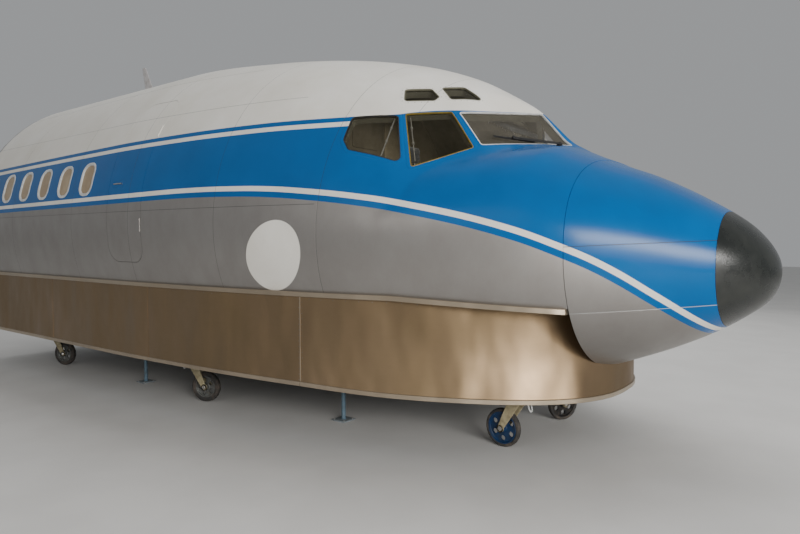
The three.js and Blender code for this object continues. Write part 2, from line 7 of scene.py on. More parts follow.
import bmesh
import bpy
import numpy as np
from mathutils import Matrix, Vector
from mathutils.bvhtree import BVHTree


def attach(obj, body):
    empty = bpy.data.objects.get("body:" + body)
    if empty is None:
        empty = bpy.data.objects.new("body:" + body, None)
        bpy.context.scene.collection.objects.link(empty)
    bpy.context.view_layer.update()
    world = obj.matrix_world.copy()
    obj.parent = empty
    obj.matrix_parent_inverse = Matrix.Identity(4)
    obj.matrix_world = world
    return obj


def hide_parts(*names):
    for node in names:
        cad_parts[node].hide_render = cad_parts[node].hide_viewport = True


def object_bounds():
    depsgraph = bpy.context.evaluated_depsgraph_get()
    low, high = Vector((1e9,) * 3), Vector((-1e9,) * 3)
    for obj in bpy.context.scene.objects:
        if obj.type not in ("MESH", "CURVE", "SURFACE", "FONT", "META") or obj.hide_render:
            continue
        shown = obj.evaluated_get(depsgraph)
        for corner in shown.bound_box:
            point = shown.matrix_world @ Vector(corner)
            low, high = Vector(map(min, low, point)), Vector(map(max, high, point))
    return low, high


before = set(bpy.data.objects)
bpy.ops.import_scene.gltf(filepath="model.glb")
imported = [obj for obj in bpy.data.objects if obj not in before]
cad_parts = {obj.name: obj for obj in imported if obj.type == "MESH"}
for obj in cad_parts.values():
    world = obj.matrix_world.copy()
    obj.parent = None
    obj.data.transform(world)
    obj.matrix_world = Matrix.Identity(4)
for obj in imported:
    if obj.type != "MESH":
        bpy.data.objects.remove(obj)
cad_low, cad_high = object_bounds()
BODY = "fuselage_section"
NOSE_X = cad_high.x
LENGTH = cad_high.x - cad_low.x

# Driving dimensions, as in the part's source
NOSE_END = 1.150
TIP_END = 0.325
COCKPIT_END = 3.900
HULL_END = 9.140
CUT_Z = 1.235
CUT_FRONT_Z = 1.174
CUT_BEND = 2.350
SKIRT_BOTTOM_Z = 0.470
SKIRT_FRONT_Z = 0.425
SKIRT_DROOP_END = 3.100
SKIRT_TIP = 1.072
SKIRT_OUT = 0.012
SKIRT_JOINT = 3.150
PROW_WIDTH = 1.305
PROW_POWER = 0.4
PROW_BLEND = 50
PROW_HALF = 0.560
LEDGE_OUT = 0.026
LEDGE_DEPTH = 0.040
LIP_OUT = 0.012
LIP_HEIGHT = 0.035
FLOOR_Z = 1.330
WALL = 0.090
SKIN_LIFT = 0.002  # the fine skin lies this far over the CAD solids
SKIN = 0.010
HULL = {
    "s": (0, .05, .19, .44, .875, 1.15, 1.48, 1.8, 2.1, 2.43, 2.9, 3.7, 4.6, 5.8),
    "top": (1.428, 1.59, 1.758, 1.93, 2.16, 2.275, 2.49, 2.745, 2.942, 3.125, 3.3, 3.48, 3.605, 3.7),
    "bottom": (1.424, 1.245, 1.112, .948, .742, .64, .565, .51, .46, .4, .32, .2, .08, -.06),
    "half": (.004, .225, .415, .635, .945, 1.11, 1.265, 1.38, 1.47, 1.555, 1.655, 1.78, 1.85, 1.88),
    "mid": (1.426, 1.43, 1.445, 1.475, 1.54, 1.58, 1.61, 1.63, 1.65, 1.67, 1.7, 1.75, 1.795, 1.82),
    "up": (2.2, 2.2, 2.3, 2.4, 2.5, 2.5, 2.0, 1.72, 1.68, 1.75, 1.9, 2, 2, 2),
    "low": (2, 2, 2, 2, 2.1, 2.1, 2.1, 2.1, 2.1, 2.1, 2.1, 2, 2, 2),
}
DECK = {
    "s": (1.15, 1.3, 1.48, 1.7, 2.2, 2.9),
    "top": (2.275, 2.338, 2.408, 2.42, 2.44, 2.44),
    "up": (2.5, 2.5, 2.5, 2.5, 2.4, 2.2),
}
DECK_END = DECK["s"][-1]
FACET_SOFT = .026
DECK_SOFT = .110
# Cockpit windows of the port side: corners as station, distance from the centre line, height
WINDOWS = {
    "windshield": ((1.526, .07, 2.424), (1.814, .025, 2.733), (2.15, .812, 2.675),
                   (1.918, .872, 2.384)),
    "side_window_2": ((1.965, .927, 2.361), (2.206, .858, 2.675), (2.492, 1.08, 2.657),
                      (2.287, 1.286, 2.206)),
    "side_window_3": ((2.37, 1.322, 2.242), (2.543, 1.124, 2.641), (2.869, 1.294, 2.636),
                      (2.849, 1.422, 2.441), (2.78, 1.446, 2.359)),
    "eyebrow_front": ((2.287, .733, 2.807), (2.427, .657, 2.929), (2.312, .488, 2.95),
                      (2.126, .506, 2.823)),
    "eyebrow_rear": ((2.574, .988, 2.784), (2.643, .884, 2.903), (2.482, .738, 2.911),
                     (2.378, .783, 2.827), (2.383, .843, 2.789)),
}
FACETS = ("windshield", "side_window_2")
CORNER_RADIUS = {"windshield": .018, "side_window_2": .012, "side_window_3": .035,
                 "eyebrow_front": .025, "eyebrow_rear": .025}
OPENING_GROW = .006  # the cut lies this far outside the outline of a window
SKIN_REACH, LINING_REACH, CABIN_REACH = .11, .22, .05  # how far a cut goes in and out
FRAME_PITCH = .508
CABIN_WINDOWS = [8.738 - FRAME_PITCH * k for k in range(6)]
CABIN_WINDOW_Z = 2.30
CABIN_WINDOW_HALF = (.112, .158)
CABIN_RADIUS = .085
DOOR_SILL = 1.430
DOOR_RADIUS = .160
DOOR_GAP = .004
DOOR_CLEAR = .04  # no rivet of the skin is nearer to a door
DOORS = {
    "entry_door_port": {"side": "left", "from": 4.350, "to": 5.210, "height": 1.830},
    "service_door_starboard": {"side": "right", "from": 5.080, "to": 5.690, "height": 1.650},
}
SIDES = {"left": 1, "right": -1}
X_AXIS, Y_AXIS, Z_AXIS = (1, 0, 0), (0, 1, 0), (0, 0, 1)

# Camera of the photograph
CAMERA_AT = (5.1176, -5.1, 1.65)
CAMERA_YAW = 37.38
CAMERA_PITCH = 2.486
CAMERA_LENS = 27.99
camera_data = bpy.data.cameras.new("camera")
camera_data.lens = CAMERA_LENS
camera_data.clip_start, camera_data.clip_end = 0.05, 200
camera = bpy.data.objects.new("camera", camera_data)
bpy.context.scene.collection.objects.link(camera)
camera.location = CAMERA_AT
camera.rotation_euler = (math.radians(90 - CAMERA_PITCH), 0, math.radians(CAMERA_YAW))
bpy.context.scene.camera = camera


# Hull form
def column(key, s, table=HULL):
    """Smooth value of one column at stations s, with no overshoot between its rows."""
    s = np.atleast_1d(np.asarray(s, float))
    u, v = np.sqrt(np.array(table["s"], float)), np.array(table[key], float)
    at, last = np.sqrt(np.maximum(s, 0)), len(u) - 1
    slope = np.diff(v) / np.diff(u)
    tangent = np.zeros_like(v)
    tangent[0] = slope[0]
    same = slope[:-1] * slope[1:] > 0
    total = np.where(same, slope[:-1] + slope[1:], 1)
    tangent[1:last] = np.where(same, 2 * slope[:-1] * slope[1:] / total, 0)
    i = np.clip(np.searchsorted(u, at, side="left") - 1, 0, last - 1)
    h = u[i + 1] - u[i]
    t = (at - u[i]) / h
    value = (v[i] * (1 + 2 * t) * (1 - t) ** 2 + v[i + 1] * t * t * (3 - 2 * t)
             + h * t * (1 - t) * (tangent[i] * (1 - t) - tangent[i + 1] * t))
    return np.where(s >= table["s"][-1], v[-1], value)


def lobe(c, d, half, height, power):
    """Radius of a superellipse in the direction whose cosine and sine are c and d."""
    return ((np.abs(c) / half) ** power + (np.abs(d) / height) ** power) ** (-1 / power)


def hull_radius(s, theta, inset=0.0, upper=HULL):
    """Distance from the axis of the hull's section to its face, at stations s and angles theta."""
    c, d = np.cos(theta), np.sin(theta)
    half, mid = column("half", s) - inset, column("mid", s)
    top = lobe(c, d, half, column("top", s, upper) - mid - inset, column("up", s, upper))
    low = lobe(c, d, half, mid - column("bottom", s) - inset, column("low", s))
    return np.where(d >= 0, top, low)


def axes_for(middle, normal):
    along = np.cross(Z_AXIS, normal)
    along /= np.linalg.norm(along)
    return {"middle": middle, "normal": normal, "along": along, "up": np.cross(normal, along)}


def on_plane(axes, flat):
    """Points given by their places in a plane."""
    flat = np.asarray(flat, float)
    return axes["middle"] + flat[:, :1] * axes["along"] + flat[:, 1:] * axes["up"]


def window_plane(name):
    """Axes of a port window of the cockpit, and its corners in its own plane."""
    points = np.array([(NOSE_X - s, y, z) for s, y, z in WINDOWS[name]])
    middle = points.mean(0)
    around = np.roll(points, -1, axis=0) - middle
    normal = np.cross(points - middle, around).sum(0)
    normal *= (1 if normal[1] > 0 else -1) / np.linalg.norm(normal)
    axes = axes_for(middle, normal)
    offset = points - middle
    return axes, np.stack([offset @ axes["along"], offset @ axes["up"]], -1)


def smooth_least(a, b, soft):
    """The smaller of two, rounded where they meet."""
    h = np.clip(0.5 + 0.5 * (b - a) / soft, 0, 1)
    return b + (a - b) * h - soft * h * (1 - h)


def skin_radius(s, theta, inset=0.0):
    """Radius of the whole outside: hull, flats of the front windows, and nose deck."""
    c, d = np.abs(np.cos(theta)), np.sin(theta)
    s = np.broadcast_to(s, np.shape(c))
    mid = column("mid", s)
    canopy = hull_radius(s, theta, inset)
    for name in FACETS:
        axes = window_plane(name)[0]
        n, m = axes["normal"], axes["middle"]
        reach = -inset - (n[0] * (NOSE_X - s - m[0]) - n[1] * m[1] + n[2] * (mid - m[2]))
        slant = n[1] * c + n[2] * d
        flat = np.where(slant > 1e-6, reach / np.maximum(slant, 1e-6), 9)
        front = (s > NOSE_END) & (s < COCKPIT_END) & (d > 0)
        canopy = np.where(front, smooth_least(canopy, np.maximum(flat, 0), FACET_SOFT), canopy)
    deck = hull_radius(s, theta, inset, DECK)
    # The blend grows from nothing at the radome and low on the sides, where the two are one
    soft = DECK_SOFT * np.clip((s - NOSE_END) / .25, .02, 1) * np.clip((DECK_END - s) / .3, .02, 1)
    soft = soft * np.clip((d - .35) / .4, .001, 1)
    whole = -smooth_least(-canopy, -deck, soft)
    on_deck = (s >= NOSE_END) & (s <= DECK_END) & (d > 0)
    return np.where(on_deck, whole, canopy)


def section(s, theta, r):
    """Points at stations s, at angles theta from +Y over the top and distances r."""
    return np.stack([NOSE_X - s + 0 * theta, r * np.cos(theta),
                     column("mid", s) + r * np.sin(theta)], -1)


def skin_frame(s, theta):
    """Points on the skin and their outward normals."""
    def at(s, theta):
        return section(s, theta, skin_radius(s, theta))

    step = 2e-3
    n = np.cross(at(s, theta + step) - at(s, theta - step), at(s + step, theta) - at(s - step, theta))
    n /= np.linalg.norm(n, axis=-1, keepdims=True)
    out = np.stack([0 * s, np.cos(theta), np.sin(theta)], -1)
    return at(s, theta), n * np.sign((n * out).sum(-1, keepdims=True))


def halved(under, low, high, steps):
    """Where a test that holds from low upward stops holding, for many values at once."""
    for _ in range(steps):
        t = (low + high) / 2
        hold = under(t)
        low, high = np.where(hold, t, low), np.where(hold, high, t)
    return (low + high) / 2


def angle_at(s, z):
    """Angle on the port side, at stations s, where the skin is at height z."""
    return halved(lambda t: column("mid", s) + skin_radius(s, t) * np.sin(t) <= z,
                  np.full(np.shape(s), -1.5), np.full(np.shape(s), 1.55), 40)


def skin_axes(s, z):
    """Axes that touch the port skin at one station and height."""
    at = np.array([s])
    p, n = skin_frame(at, angle_at(at, np.array([z])))
    return axes_for(p[0], n[0])


def cut_height(s):
    droop = np.clip((CUT_BEND - s) / (CUT_BEND - NOSE_END), 0, None)
    return CUT_Z + (CUT_FRONT_Z - CUT_Z) * droop


# Mesh helpers
FINISH = {}  # every material by its name


def link(obj):
    bpy.context.scene.collection.objects.link(obj)
    return obj


def mesh_object(points, faces):
    mesh = bpy.data.meshes.new("part")
    mesh.from_pydata([tuple(map(float, p)) for p in points], [], [list(f) for f in faces])
    mesh.validate()
    return link(bpy.data.objects.new("part", mesh))


def outward(obj):
    """Turns the faces of a closed mesh to point out."""
    work = bmesh.new()
    work.from_mesh(obj.data)
    bmesh.ops.recalc_face_normals(work, faces=work.faces)
    work.to_mesh(obj.data)
    work.free()
    return obj


def smooth(obj, angle=30.0):
    obj.data.shade_smooth()
    obj.data.set_sharp_from_angle(angle=math.radians(angle))
    return obj


def dressed(obj, finish):
    if finish:
        obj.data.materials.clear()
        obj.data.materials.append(FINISH[finish])
    return obj


def place(name, obj, finish=None, body=BODY, replaces=()):
    obj.name = name
    dressed(obj, finish)
    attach(obj, body)
    if replaces:
        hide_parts(*replaces)
    return obj


def joined(objects):
    """One object made of several, with their materials."""
    with bpy.context.temp_override(active_object=objects[0], object=objects[0],
                                   selected_objects=objects, selected_editable_objects=objects):
        bpy.ops.object.join()
    return objects[0]


def copy_of(source, turn=Matrix.Identity(4)):
    piece = link(source.copy())
    piece.data = source.data.copy()
    piece.data.transform(turn)
    return piece


def on_side(obj, side):
    """Mirrors a port piece in place where it belongs to the starboard side."""
    if side == "right":
        for v in obj.data.vertices:
            v.co.y = -v.co.y
        obj.data.flip_normals()
    return obj


def both_sides(source):
    """A port piece and its mirror image, each with its side."""
    return ("left", source), ("right", on_side(copy_of(source), "right"))


def applied(obj):
    """Bakes the modifiers of an object into its mesh."""
    graph = bpy.context.evaluated_depsgraph_get()
    made = bpy.data.meshes.new_from_object(obj.evaluated_get(graph))
    obj.modifiers.clear()
    obj.data = made
    return obj


def boolean(obj, tool, operation="DIFFERENCE"):
    modifier = obj.modifiers.new("cut", "BOOLEAN")
    modifier.operation, modifier.solver, modifier.object = operation, "MANIFOLD", tool
    applied(obj)
    bpy.data.objects.remove(tool)
    return obj


def bevelled(obj, width, angle=35):
    modifier = obj.modifiers.new("edge", "BEVEL")
    modifier.width, modifier.segments, modifier.limit_method = width, 2, "ANGLE"
    modifier.angle_limit = math.radians(angle)
    return applied(smooth(obj))


def block(finish, low, high, round_by, edge):
    return bevelled(bar(finish, low, high, round_by), edge)


def standing(station, y):
    """The move that stands a piece on a station and a distance to port."""
    return Matrix.Translation((NOSE_X - station, y, 0))


def full_turn(count):
    return np.arange(count) * 2 * math.pi / count


def loft_faces(rings, count, wrap=False):
    """Quads between rings of count points, laid out one ring after the other."""
    return [(j * count + i, j * count + (i + 1) % count, (j + 1) % rings * count + (i + 1) % count,
             (j + 1) % rings * count + i) for j in range(rings - (not wrap)) for i in range(count)]


def skin_of(rings, angle=40.0, wrap=False):
    """Surface through rings of equal count, open at its ends or closed on itself."""
    faces = loft_faces(len(rings), len(rings[0]), wrap)
    return smooth(outward(mesh_object(np.concatenate(rings), faces)), angle)


def solid(rings, angle=30.0):
    """Closed mesh through rings of equal count, with flat ends."""
    count, last = len(rings[0]), (len(rings) - 1) * len(rings[0])
    faces = loft_faces(len(rings), count) + [range(count), range(last, last + count)]
    return smooth(outward(mesh_object(np.concatenate(rings), faces)), angle)


def hull_solid(stations, sides, radius, inset=0.0):
    theta = full_turn(sides)
    return solid([section(s, theta, radius(s, theta, inset)) for s in stations])


def prism(outline, step):
    """Closed prism from a loop of points, drawn along a step."""
    outline = np.asarray(outline, float)
    return solid([outline, outline + np.asarray(step, float)])


def plate(finish, outline, low, high, bevel=.002):
    """Plate between two y, from its outline of x and z, its edges rounded."""
    made = prism([(x, low, z) for x, z in outline], (0, high - low, 0))
    return dressed(bevelled(made, bevel), finish)


def rounded(flat, grow, radius, arc=6, edge=8):
    """A polygon grown outward by grow, its corners rounded, with the same count at any grow."""
    flat = np.asarray(flat, float)
    if np.cross(flat, np.roll(flat, -1, axis=0)).sum() < 0:
        flat = flat[::-1]
    along = np.roll(flat, -1, axis=0) - flat
    along /= np.linalg.norm(along, axis=1, keepdims=True)
    out = np.stack([along[:, 1], -along[:, 0]], -1)
    turned = []
    for i, corner in enumerate(flat):
        a, b = out[i - 1], out[i]
        centre = corner - (a + b) * radius / (1 + a @ b)
        start, end = math.atan2(a[1], a[0]), math.atan2(b[1], b[0])
        end += 2 * math.pi if end < start else 0
        t = np.linspace(start, end, arc)
        turned.append(centre + (radius + grow) * np.stack([np.cos(t), np.sin(t)], -1))
    points = []
    for this, after in zip(turned, turned[1:] + turned[:1]):
        t = np.linspace(0, 1, edge + 2)[1:-1, None]
        points += [this, this[-1] + (after[0] - this[-1]) * t]
    return np.concatenate(points)


def drape(axes, flat, lift):
    """Points of a plane carried along its normal to the port skin, and lifted off it."""
    start = on_plane(axes, flat)

    def inside(k):
        x, y, z = (start + k[:, None] * axes["normal"]).T
        rise = z - column("mid", NOSE_X - x)
        return np.hypot(y, rise) < skin_radius(NOSE_X - x, np.arctan2(rise, y))

    k = halved(inside, np.full(len(flat), -0.2), np.full(len(flat), 0.2), 30)
    return start + (k + lift)[:, None] * axes["normal"]


def circle(side, other, sides):
    t = full_turn(sides)[:, None]
    return np.cos(t) * np.array(side) + np.sin(t) * np.array(other)


def lathe(finish, profile, at=(0, 0, 0), axis=Z_AXIS, sides=32):
    """A profile of (distance from the axis, place along it) turned round an axis."""
    axis = Vector(axis).normalized()
    side = axis.orthogonal().normalized()
    around = circle(side, axis.cross(side), sides)
    rings = [around * r + np.array(at) + up * np.array(axis) for r, up in profile]
    if profile[0] == profile[-1]:
        return dressed(skin_of(rings[:-1], 30, True), finish)
    return dressed(solid(rings), finish)


def drum(finish, r, low, high, at=(0, 0, 0), axis=Z_AXIS, sides=32):
    return lathe(finish, ((0, low), (r, low), (r, high), (0, high)), at, axis, sides)


def hexagon(finish, at, axis, across, depth):
    """Bolt head or nut with a rounded crown."""
    r = across / 2
    return lathe(finish, ((0, 0), (r, 0), (r, depth * .8), (r * .86, depth), (0, depth)), at, axis, 6)


def tube(finish, path, radius, sides=10):
    """A round bar along a path, with closed ends."""
    path = [Vector(p) for p in path]
    rings, side = [], None
    for i, p in enumerate(path):
        ahead = (path[min(i + 1, len(path) - 1)] - path[max(i - 1, 0)]).normalized()
        side = ahead.orthogonal() if side is None else side - ahead * side.dot(ahead)
        side = side.normalized()
        rings.append(np.array(p) + radius * circle(side, ahead.cross(side), sides))
    return dressed(solid(rings), finish)


def bar(finish, low, high, bevel=0.003):
    """Box from its low and high corners, its edges rounded."""
    work = bmesh.new()
    bmesh.ops.create_cube(work, size=1)
    low, high = np.minimum(low, high), np.maximum(low, high)
    for v in work.verts:
        v.co = Vector((low + high) / 2 + np.array(v.co) * (high - low))
    bmesh.ops.bevel(work, geom=work.edges, offset=bevel, segments=2, profile=0.5,
                    affect="EDGES", clamp_overlap=True)
    mesh = bpy.data.meshes.new("part")
    work.to_mesh(mesh)
    work.free()
    return dressed(smooth(link(bpy.data.objects.new("part", mesh))), finish)


def domes(points, normals, radius, height, sides=6):
    """Many small round heads in one mesh."""
    t = full_turn(sides)
    side = np.cross(normals, (0.31, 0.17, 0.93))
    side /= np.linalg.norm(side, axis=1, keepdims=True)
    other = np.cross(normals, side)
    rim = (points[:, None] + radius * (np.cos(t)[:, None] * side[:, None]
                                       + np.sin(t)[:, None] * other[:, None]))
    count = len(points)
    heads = np.concatenate([rim.reshape(-1, 3), points + height * normals])
    obj = mesh_object(heads, [(k * sides + i, k * sides + (i + 1) % sides, count * sides + k)
                              for k in range(count) for i in range(sides)])
    obj.data.shade_smooth()
    return obj


def evenly(loop, pitch):
    """Points a pitch apart on a closed loop."""
    ends = np.concatenate([loop, loop[:1]])
    length = np.concatenate([[0], np.cumsum(np.linalg.norm(np.diff(ends, axis=0), axis=1))])
    count = max(3, round(length[-1] / pitch))
    at = np.arange(count) * length[-1] / count
    return np.stack([np.interp(at, length, ends[:, k]) for k in range(2)], -1)


# Material helper
class Graph:
    """A Principled material and short calls for the nodes that feed it."""

    def __init__(self, name, color=(0.8, 0.8, 0.8), roughness=0.5, metallic=0.0, **constants):
        self.material = FINISH[name] = bpy.data.materials.new(name)
        self.material.use_nodes = True
        self.tree = self.material.node_tree
        self.shader = self.tree.nodes["Principled BSDF"]
        self.set("Base Color", (*color, 1))
        self.set("Roughness", roughness)
        self.set("Metallic", metallic)
        for key, value in constants.items():
            self.set(key.replace("_", " "), value)
        self.place = self.node("ShaderNodeTexCoord").outputs["Object"]

    def set(self, socket, value):
        self.plug(self.shader.inputs[socket], value)

    def node(self, kind, **settings):
        made = self.tree.nodes.new(kind)
        for key, value in settings.items():
            setattr(made, key, value)
        return made

    def plug(self, socket, value):
        if isinstance(value, bpy.types.NodeSocket):
            self.tree.links.new(value, socket)
        else:
            socket.default_value = value

    def fed(self, made, values, output=0):
        """Output of a node whose inputs are given by number or name."""
        for key, value in values.items():
            self.plug(made.inputs[key], value)
        return made.outputs[output]

    def math(self, operation, *values, clamp=False):
        made = self.node("ShaderNodeMath", operation=operation, use_clamp=clamp)
        return self.fed(made, dict(enumerate(values)))

    def add(self, a, b):
        return self.math("ADD", a, b)

    def less(self, a, b):
        return self.math("SUBTRACT", a, b)

    def both(self, *values):
        return reduce(lambda a, b: self.math("MULTIPLY", a, b), values)

    def most(self, *values):
        return reduce(lambda a, b: self.math("MAXIMUM", a, b), values)

    def mix(self, factor, a, b):
        a, b = ((*c, 1) if isinstance(c, tuple) else c for c in (a, b))
        return self.fed(self.node("ShaderNodeMix", data_type="RGBA"), {0: factor, 6: a, 7: b}, 2)

    def between(self, factor, a, b):
        return self.fed(self.node("ShaderNodeMix", data_type="FLOAT"), {0: factor, 2: a, 3: b})

    def above(self, value, edge, soft=0.0008):
        """0 where value is under edge and 1 over it."""
        return self.math("ADD", self.math("DIVIDE", self.less(value, edge), soft), 0.5, clamp=True)

    def line(self, value, at, half):
        """1 on a line of that half width."""
        far = self.math("ABSOLUTE", self.less(value, at))
        return self.less(1.0, self.above(far, half, 0.001))

    def noise(self, scale, detail=3.0, stretch=(1, 1, 1), roughness=0.5):
        mapped = self.fed(self.node("ShaderNodeMapping"), {"Scale": stretch, "Vector": self.place})
        return self.fed(self.node("ShaderNodeTexNoise"), {
            "Vector": mapped, "Scale": scale, "Detail": detail, "Roughness": roughness}, "Fac")

    def span(self, value, low, high, to_low, to_high):
        return self.fed(self.node("ShaderNodeMapRange"),
                        dict(enumerate((value, low, high, to_low, to_high))))

    def curve(self, value, points, width, height):
        """Height of a smooth curve through points, both of whose scales are given."""
        made = self.node("ShaderNodeFloatCurve")
        curve = made.mapping.curves[0]
        scaled = [(x / width, y / height) for x, y in points]
        curve.points[0].location, curve.points[1].location = scaled[0], scaled[-1]
        for x, y in scaled[1:-1]:
            curve.points.new(x, y)
        for point in curve.points:
            point.handle_type = "AUTO_CLAMPED"
        made.mapping.update()
        return self.both(self.fed(made, {"Value": self.math("DIVIDE", value, width)}), height)

    def bump(self, height, distance, strength):
        self.set("Normal", self.fed(self.node("ShaderNodeBump"), {
            "Strength": strength, "Distance": distance, "Height": height}))


# Livery: edges of the colours as station and height
ROOF_EDGE = ((0, 2.75), (1.7, 2.746), (1.82, 2.741), (2.16, 2.694), (2.21, 2.692), (2.48, 2.668),
             (2.54, 2.656), (2.85, 2.647), (3.8, 2.651), (4.8, 2.648), (6.2, 2.631), (8.2, 2.594),
             (9.2, 2.57))
LOW_EDGE = ((0, .62), (.2, .85), (.36, 1.035), (.48, 1.155), (.65, 1.305), (.93, 1.507), (1.15, 1.62),
            (1.54, 1.772), (2.27, 1.945), (2.64, 2.006), (3.1, 2.06), (3.43, 2.088), (3.82, 2.105),
            (4.47, 2.114), (5.3, 2.106), (7.0, 2.092), (9.2, 2.075))
CURVE_HEIGHT = 4.0  # the height that 1 stands for in the curves of the edges
PIN_STRIPE = .042  # thin stripes along the roof's edge
UPPER_WHITE_END = 2.86
LOW_WHITE = .043
LOW_BLUE = .047
ROUNDEL = {"s": 3.370, "z": 1.522, "half_s": .282, "half_z": .289, "lean": .18}
BLUE, WORN_BLUE = (.0, .094, .30), (.0, .08084, .258)
WHITE, WORN_WHITE = (.74, .72, .67), (.66, .63, .56)
SILVER, WORN_SILVER = (.33, .315, .30), (.295, .277, .262)
SEAM_STATIONS = (2.93, 4.02, 5.30, 6.45, 7.98)
LAP_HEIGHTS = ((1.93, 2.96, 9.2), (2.88, 3.4, 9.2), (3.35, 4.4, 9.2))
ROOF_LAP_Z = 2.415
NOSE_SEAMS = {"dark": (-.055, 1.666), "light": (-.084, 1.236)}  # slope along, height at the tip


def dropped(points, drop):
    """The edge that lies a distance under another, measured square to it."""
    s, z = np.array(points).T
    slope = np.gradient(z, s)
    return [(a, max(b, 0)) for a, b in zip(s, z - drop * np.sqrt(1 + slope ** 2))]


def livery():
    g = Graph("livery")
    parts = g.node("ShaderNodeSeparateXYZ")
    g.plug(parts.inputs[0], g.place)
    s, z = g.less(NOSE_X, parts.outputs[0]), parts.outputs[2]
    edges = [ROOF_EDGE, LOW_EDGE, dropped(LOW_EDGE, LOW_WHITE), dropped(LOW_EDGE, LOW_WHITE + LOW_BLUE)]
    roof, low, low_blue, bare = (g.curve(s, edge, LENGTH, CURVE_HEIGHT) for edge in edges)
    below_roof = g.less(roof, z)
    pin = g.both(g.above(below_roof, PIN_STRIPE), g.above(2 * PIN_STRIPE, below_roof),
                 g.above(s, UPPER_WHITE_END))
    band = g.both(g.above(low, z), g.above(z, low_blue))
    b = g.less(z, ROUNDEL["z"])
    a = g.add(g.less(s, ROUNDEL["s"]), g.both(b, ROUNDEL["lean"]))
    far = [g.math("POWER", g.math("DIVIDE", value, ROUNDEL[half]), 2.0)
           for value, half in ((a, "half_s"), (b, "half_z"))]
    roundel = g.above(1.0, g.add(*far), 0.006)
    white = g.most(g.above(z, roof), pin, band, roundel)
    metal = g.both(g.above(bare, z), g.less(1.0, roundel))
    grime = g.noise(2.2, 6.0, (1, 1, 1), 0.6)
    streak = g.noise(3.2, 6.0, (1.3, 1, .8), 0.62)
    blue = g.mix(g.span(grime, .35, .7, 0, 1), BLUE, WORN_BLUE)
    white_paint = g.mix(g.span(grime, .35, .75, 0, 1), WHITE, WORN_WHITE)
    silver = g.mix(g.span(streak, .35, .7, 0, 1), SILVER, WORN_SILVER)
    color = g.mix(white, g.mix(metal, blue, silver), white_paint)
    seams = [g.line(s, at, .0016) for at in SEAM_STATIONS]
    seams += [g.both(g.line(z, height, .0016), g.above(s, start), g.above(end, s))
              for height, start, end in LAP_HEIGHTS]
    seams.append(g.both(g.line(s, ROOF_LAP_Z, .0014), g.above(z, roof)))
    on_nose = g.above(NOSE_END, s)
    dark, light = (g.both(g.line(z, g.add(g.both(s, slope), height), half), on_nose)
                   for (slope, height), half in zip(NOSE_SEAMS.values(), (.0026, .0022)))
    seam = g.most(*seams, dark)
    color = g.mix(g.both(seam, 0.8), color, (.03, .035, .04))
    g.set("Base Color", g.mix(g.both(light, 0.65), color, (.55, .56, .56)))
    g.set("Metallic", g.both(metal, 0.8))
    gloss = g.between(white, 0.24, 0.34)
    g.set("Roughness", g.between(metal, gloss, g.span(streak, .3, .7, .38, .44)))
    g.set("Specular IOR Level", 0.25)
    relief = g.add(g.both(g.noise(1.6, 2.0), 0.8), g.both(g.noise(60, 3.0), 0.01))
    g.bump(g.less(relief, g.both(g.most(seam, light), 0.12)), 0.02, 0.5)


def painted(name, color, worn, roughness=0.45, scale=9.0, metallic=0.0, bump=0.0015):
    """Paint with faded patches, fine grain and duller worn spots."""
    g = Graph(name, color, roughness, metallic)
    patches = g.noise(scale, 6.0, roughness=0.65)
    g.set("Base Color", g.mix(g.span(patches, .42, .72, 0, 1), color, worn))
    g.set("Roughness", g.span(patches, .3, .75, roughness * 0.8, min(1, roughness * 1.4)))
    g.bump(g.noise(scale * 14, 4.0), bump, 0.4)


def brushed(name, color, worn, roughness, stretch):
    """Satin sheet metal with rolled grain and slow waves in the sheet."""
    g = Graph(name, color, roughness, 0.85)
    grain = g.noise(24, 3.0, (.3, .3, 2.0))
    tone = g.add(g.both(g.noise(1.3, 5.0, stretch, 0.6), 0.93), g.both(grain, 0.07))
    g.set("Base Color", g.mix(g.span(tone, .32, .68, 0, 1), color, worn))
    g.set("Roughness", g.span(tone, .3, .7, roughness * 0.85, roughness * 1.25))
    waves = g.add(g.noise(1.5, 1.0, (1, 1, .55)), g.both(g.noise(4.2, 1.0, (1, 1, .5)), 0.22))
    g.bump(g.add(waves, g.both(grain, 0.0006)), 0.12, 0.8)


def rubber(name, color, dust_color):
    g = Graph(name, color, 0.75)
    dust = g.noise(14, 6.0, roughness=0.7)
    g.set("Base Color", g.mix(g.span(dust, .45, .75, 0, 1), color, dust_color))
    g.set("Roughness", g.span(dust, .3, .7, .62, .92))
    g.bump(g.noise(180, 3.0), 0.0008, 0.6)


def glazing(name, tint, alpha):
    g = Graph(name, tint, 0.03, 0.0, IOR=1.5)
    haze = g.noise(3.0, 4.0)
    g.set("Base Color", g.mix(g.span(haze, .4, .8, 0, .6), tint, tuple(c * 1.9 for c in tint)))
    g.set("Alpha", g.span(haze, .35, .75, alpha, alpha + 0.12))
    g.set("Roughness", g.span(haze, .3, .8, 0.03, 0.08))


def cloth(name, color, second):
    g = Graph(name, color, 0.9, 0.0, Sheen_Weight=0.25)
    threads = g.both(*(g.fed(g.node("ShaderNodeTexWave", wave_type="BANDS", bands_direction=way),
                             {"Scale": 160, "Vector": g.place}, "Fac") for way in "XZ"))
    g.set("Base Color", g.mix(g.span(g.noise(8, 5.0), .4, .7, 0, 1), color, second))
    g.bump(threads, 0.001, 0.7)


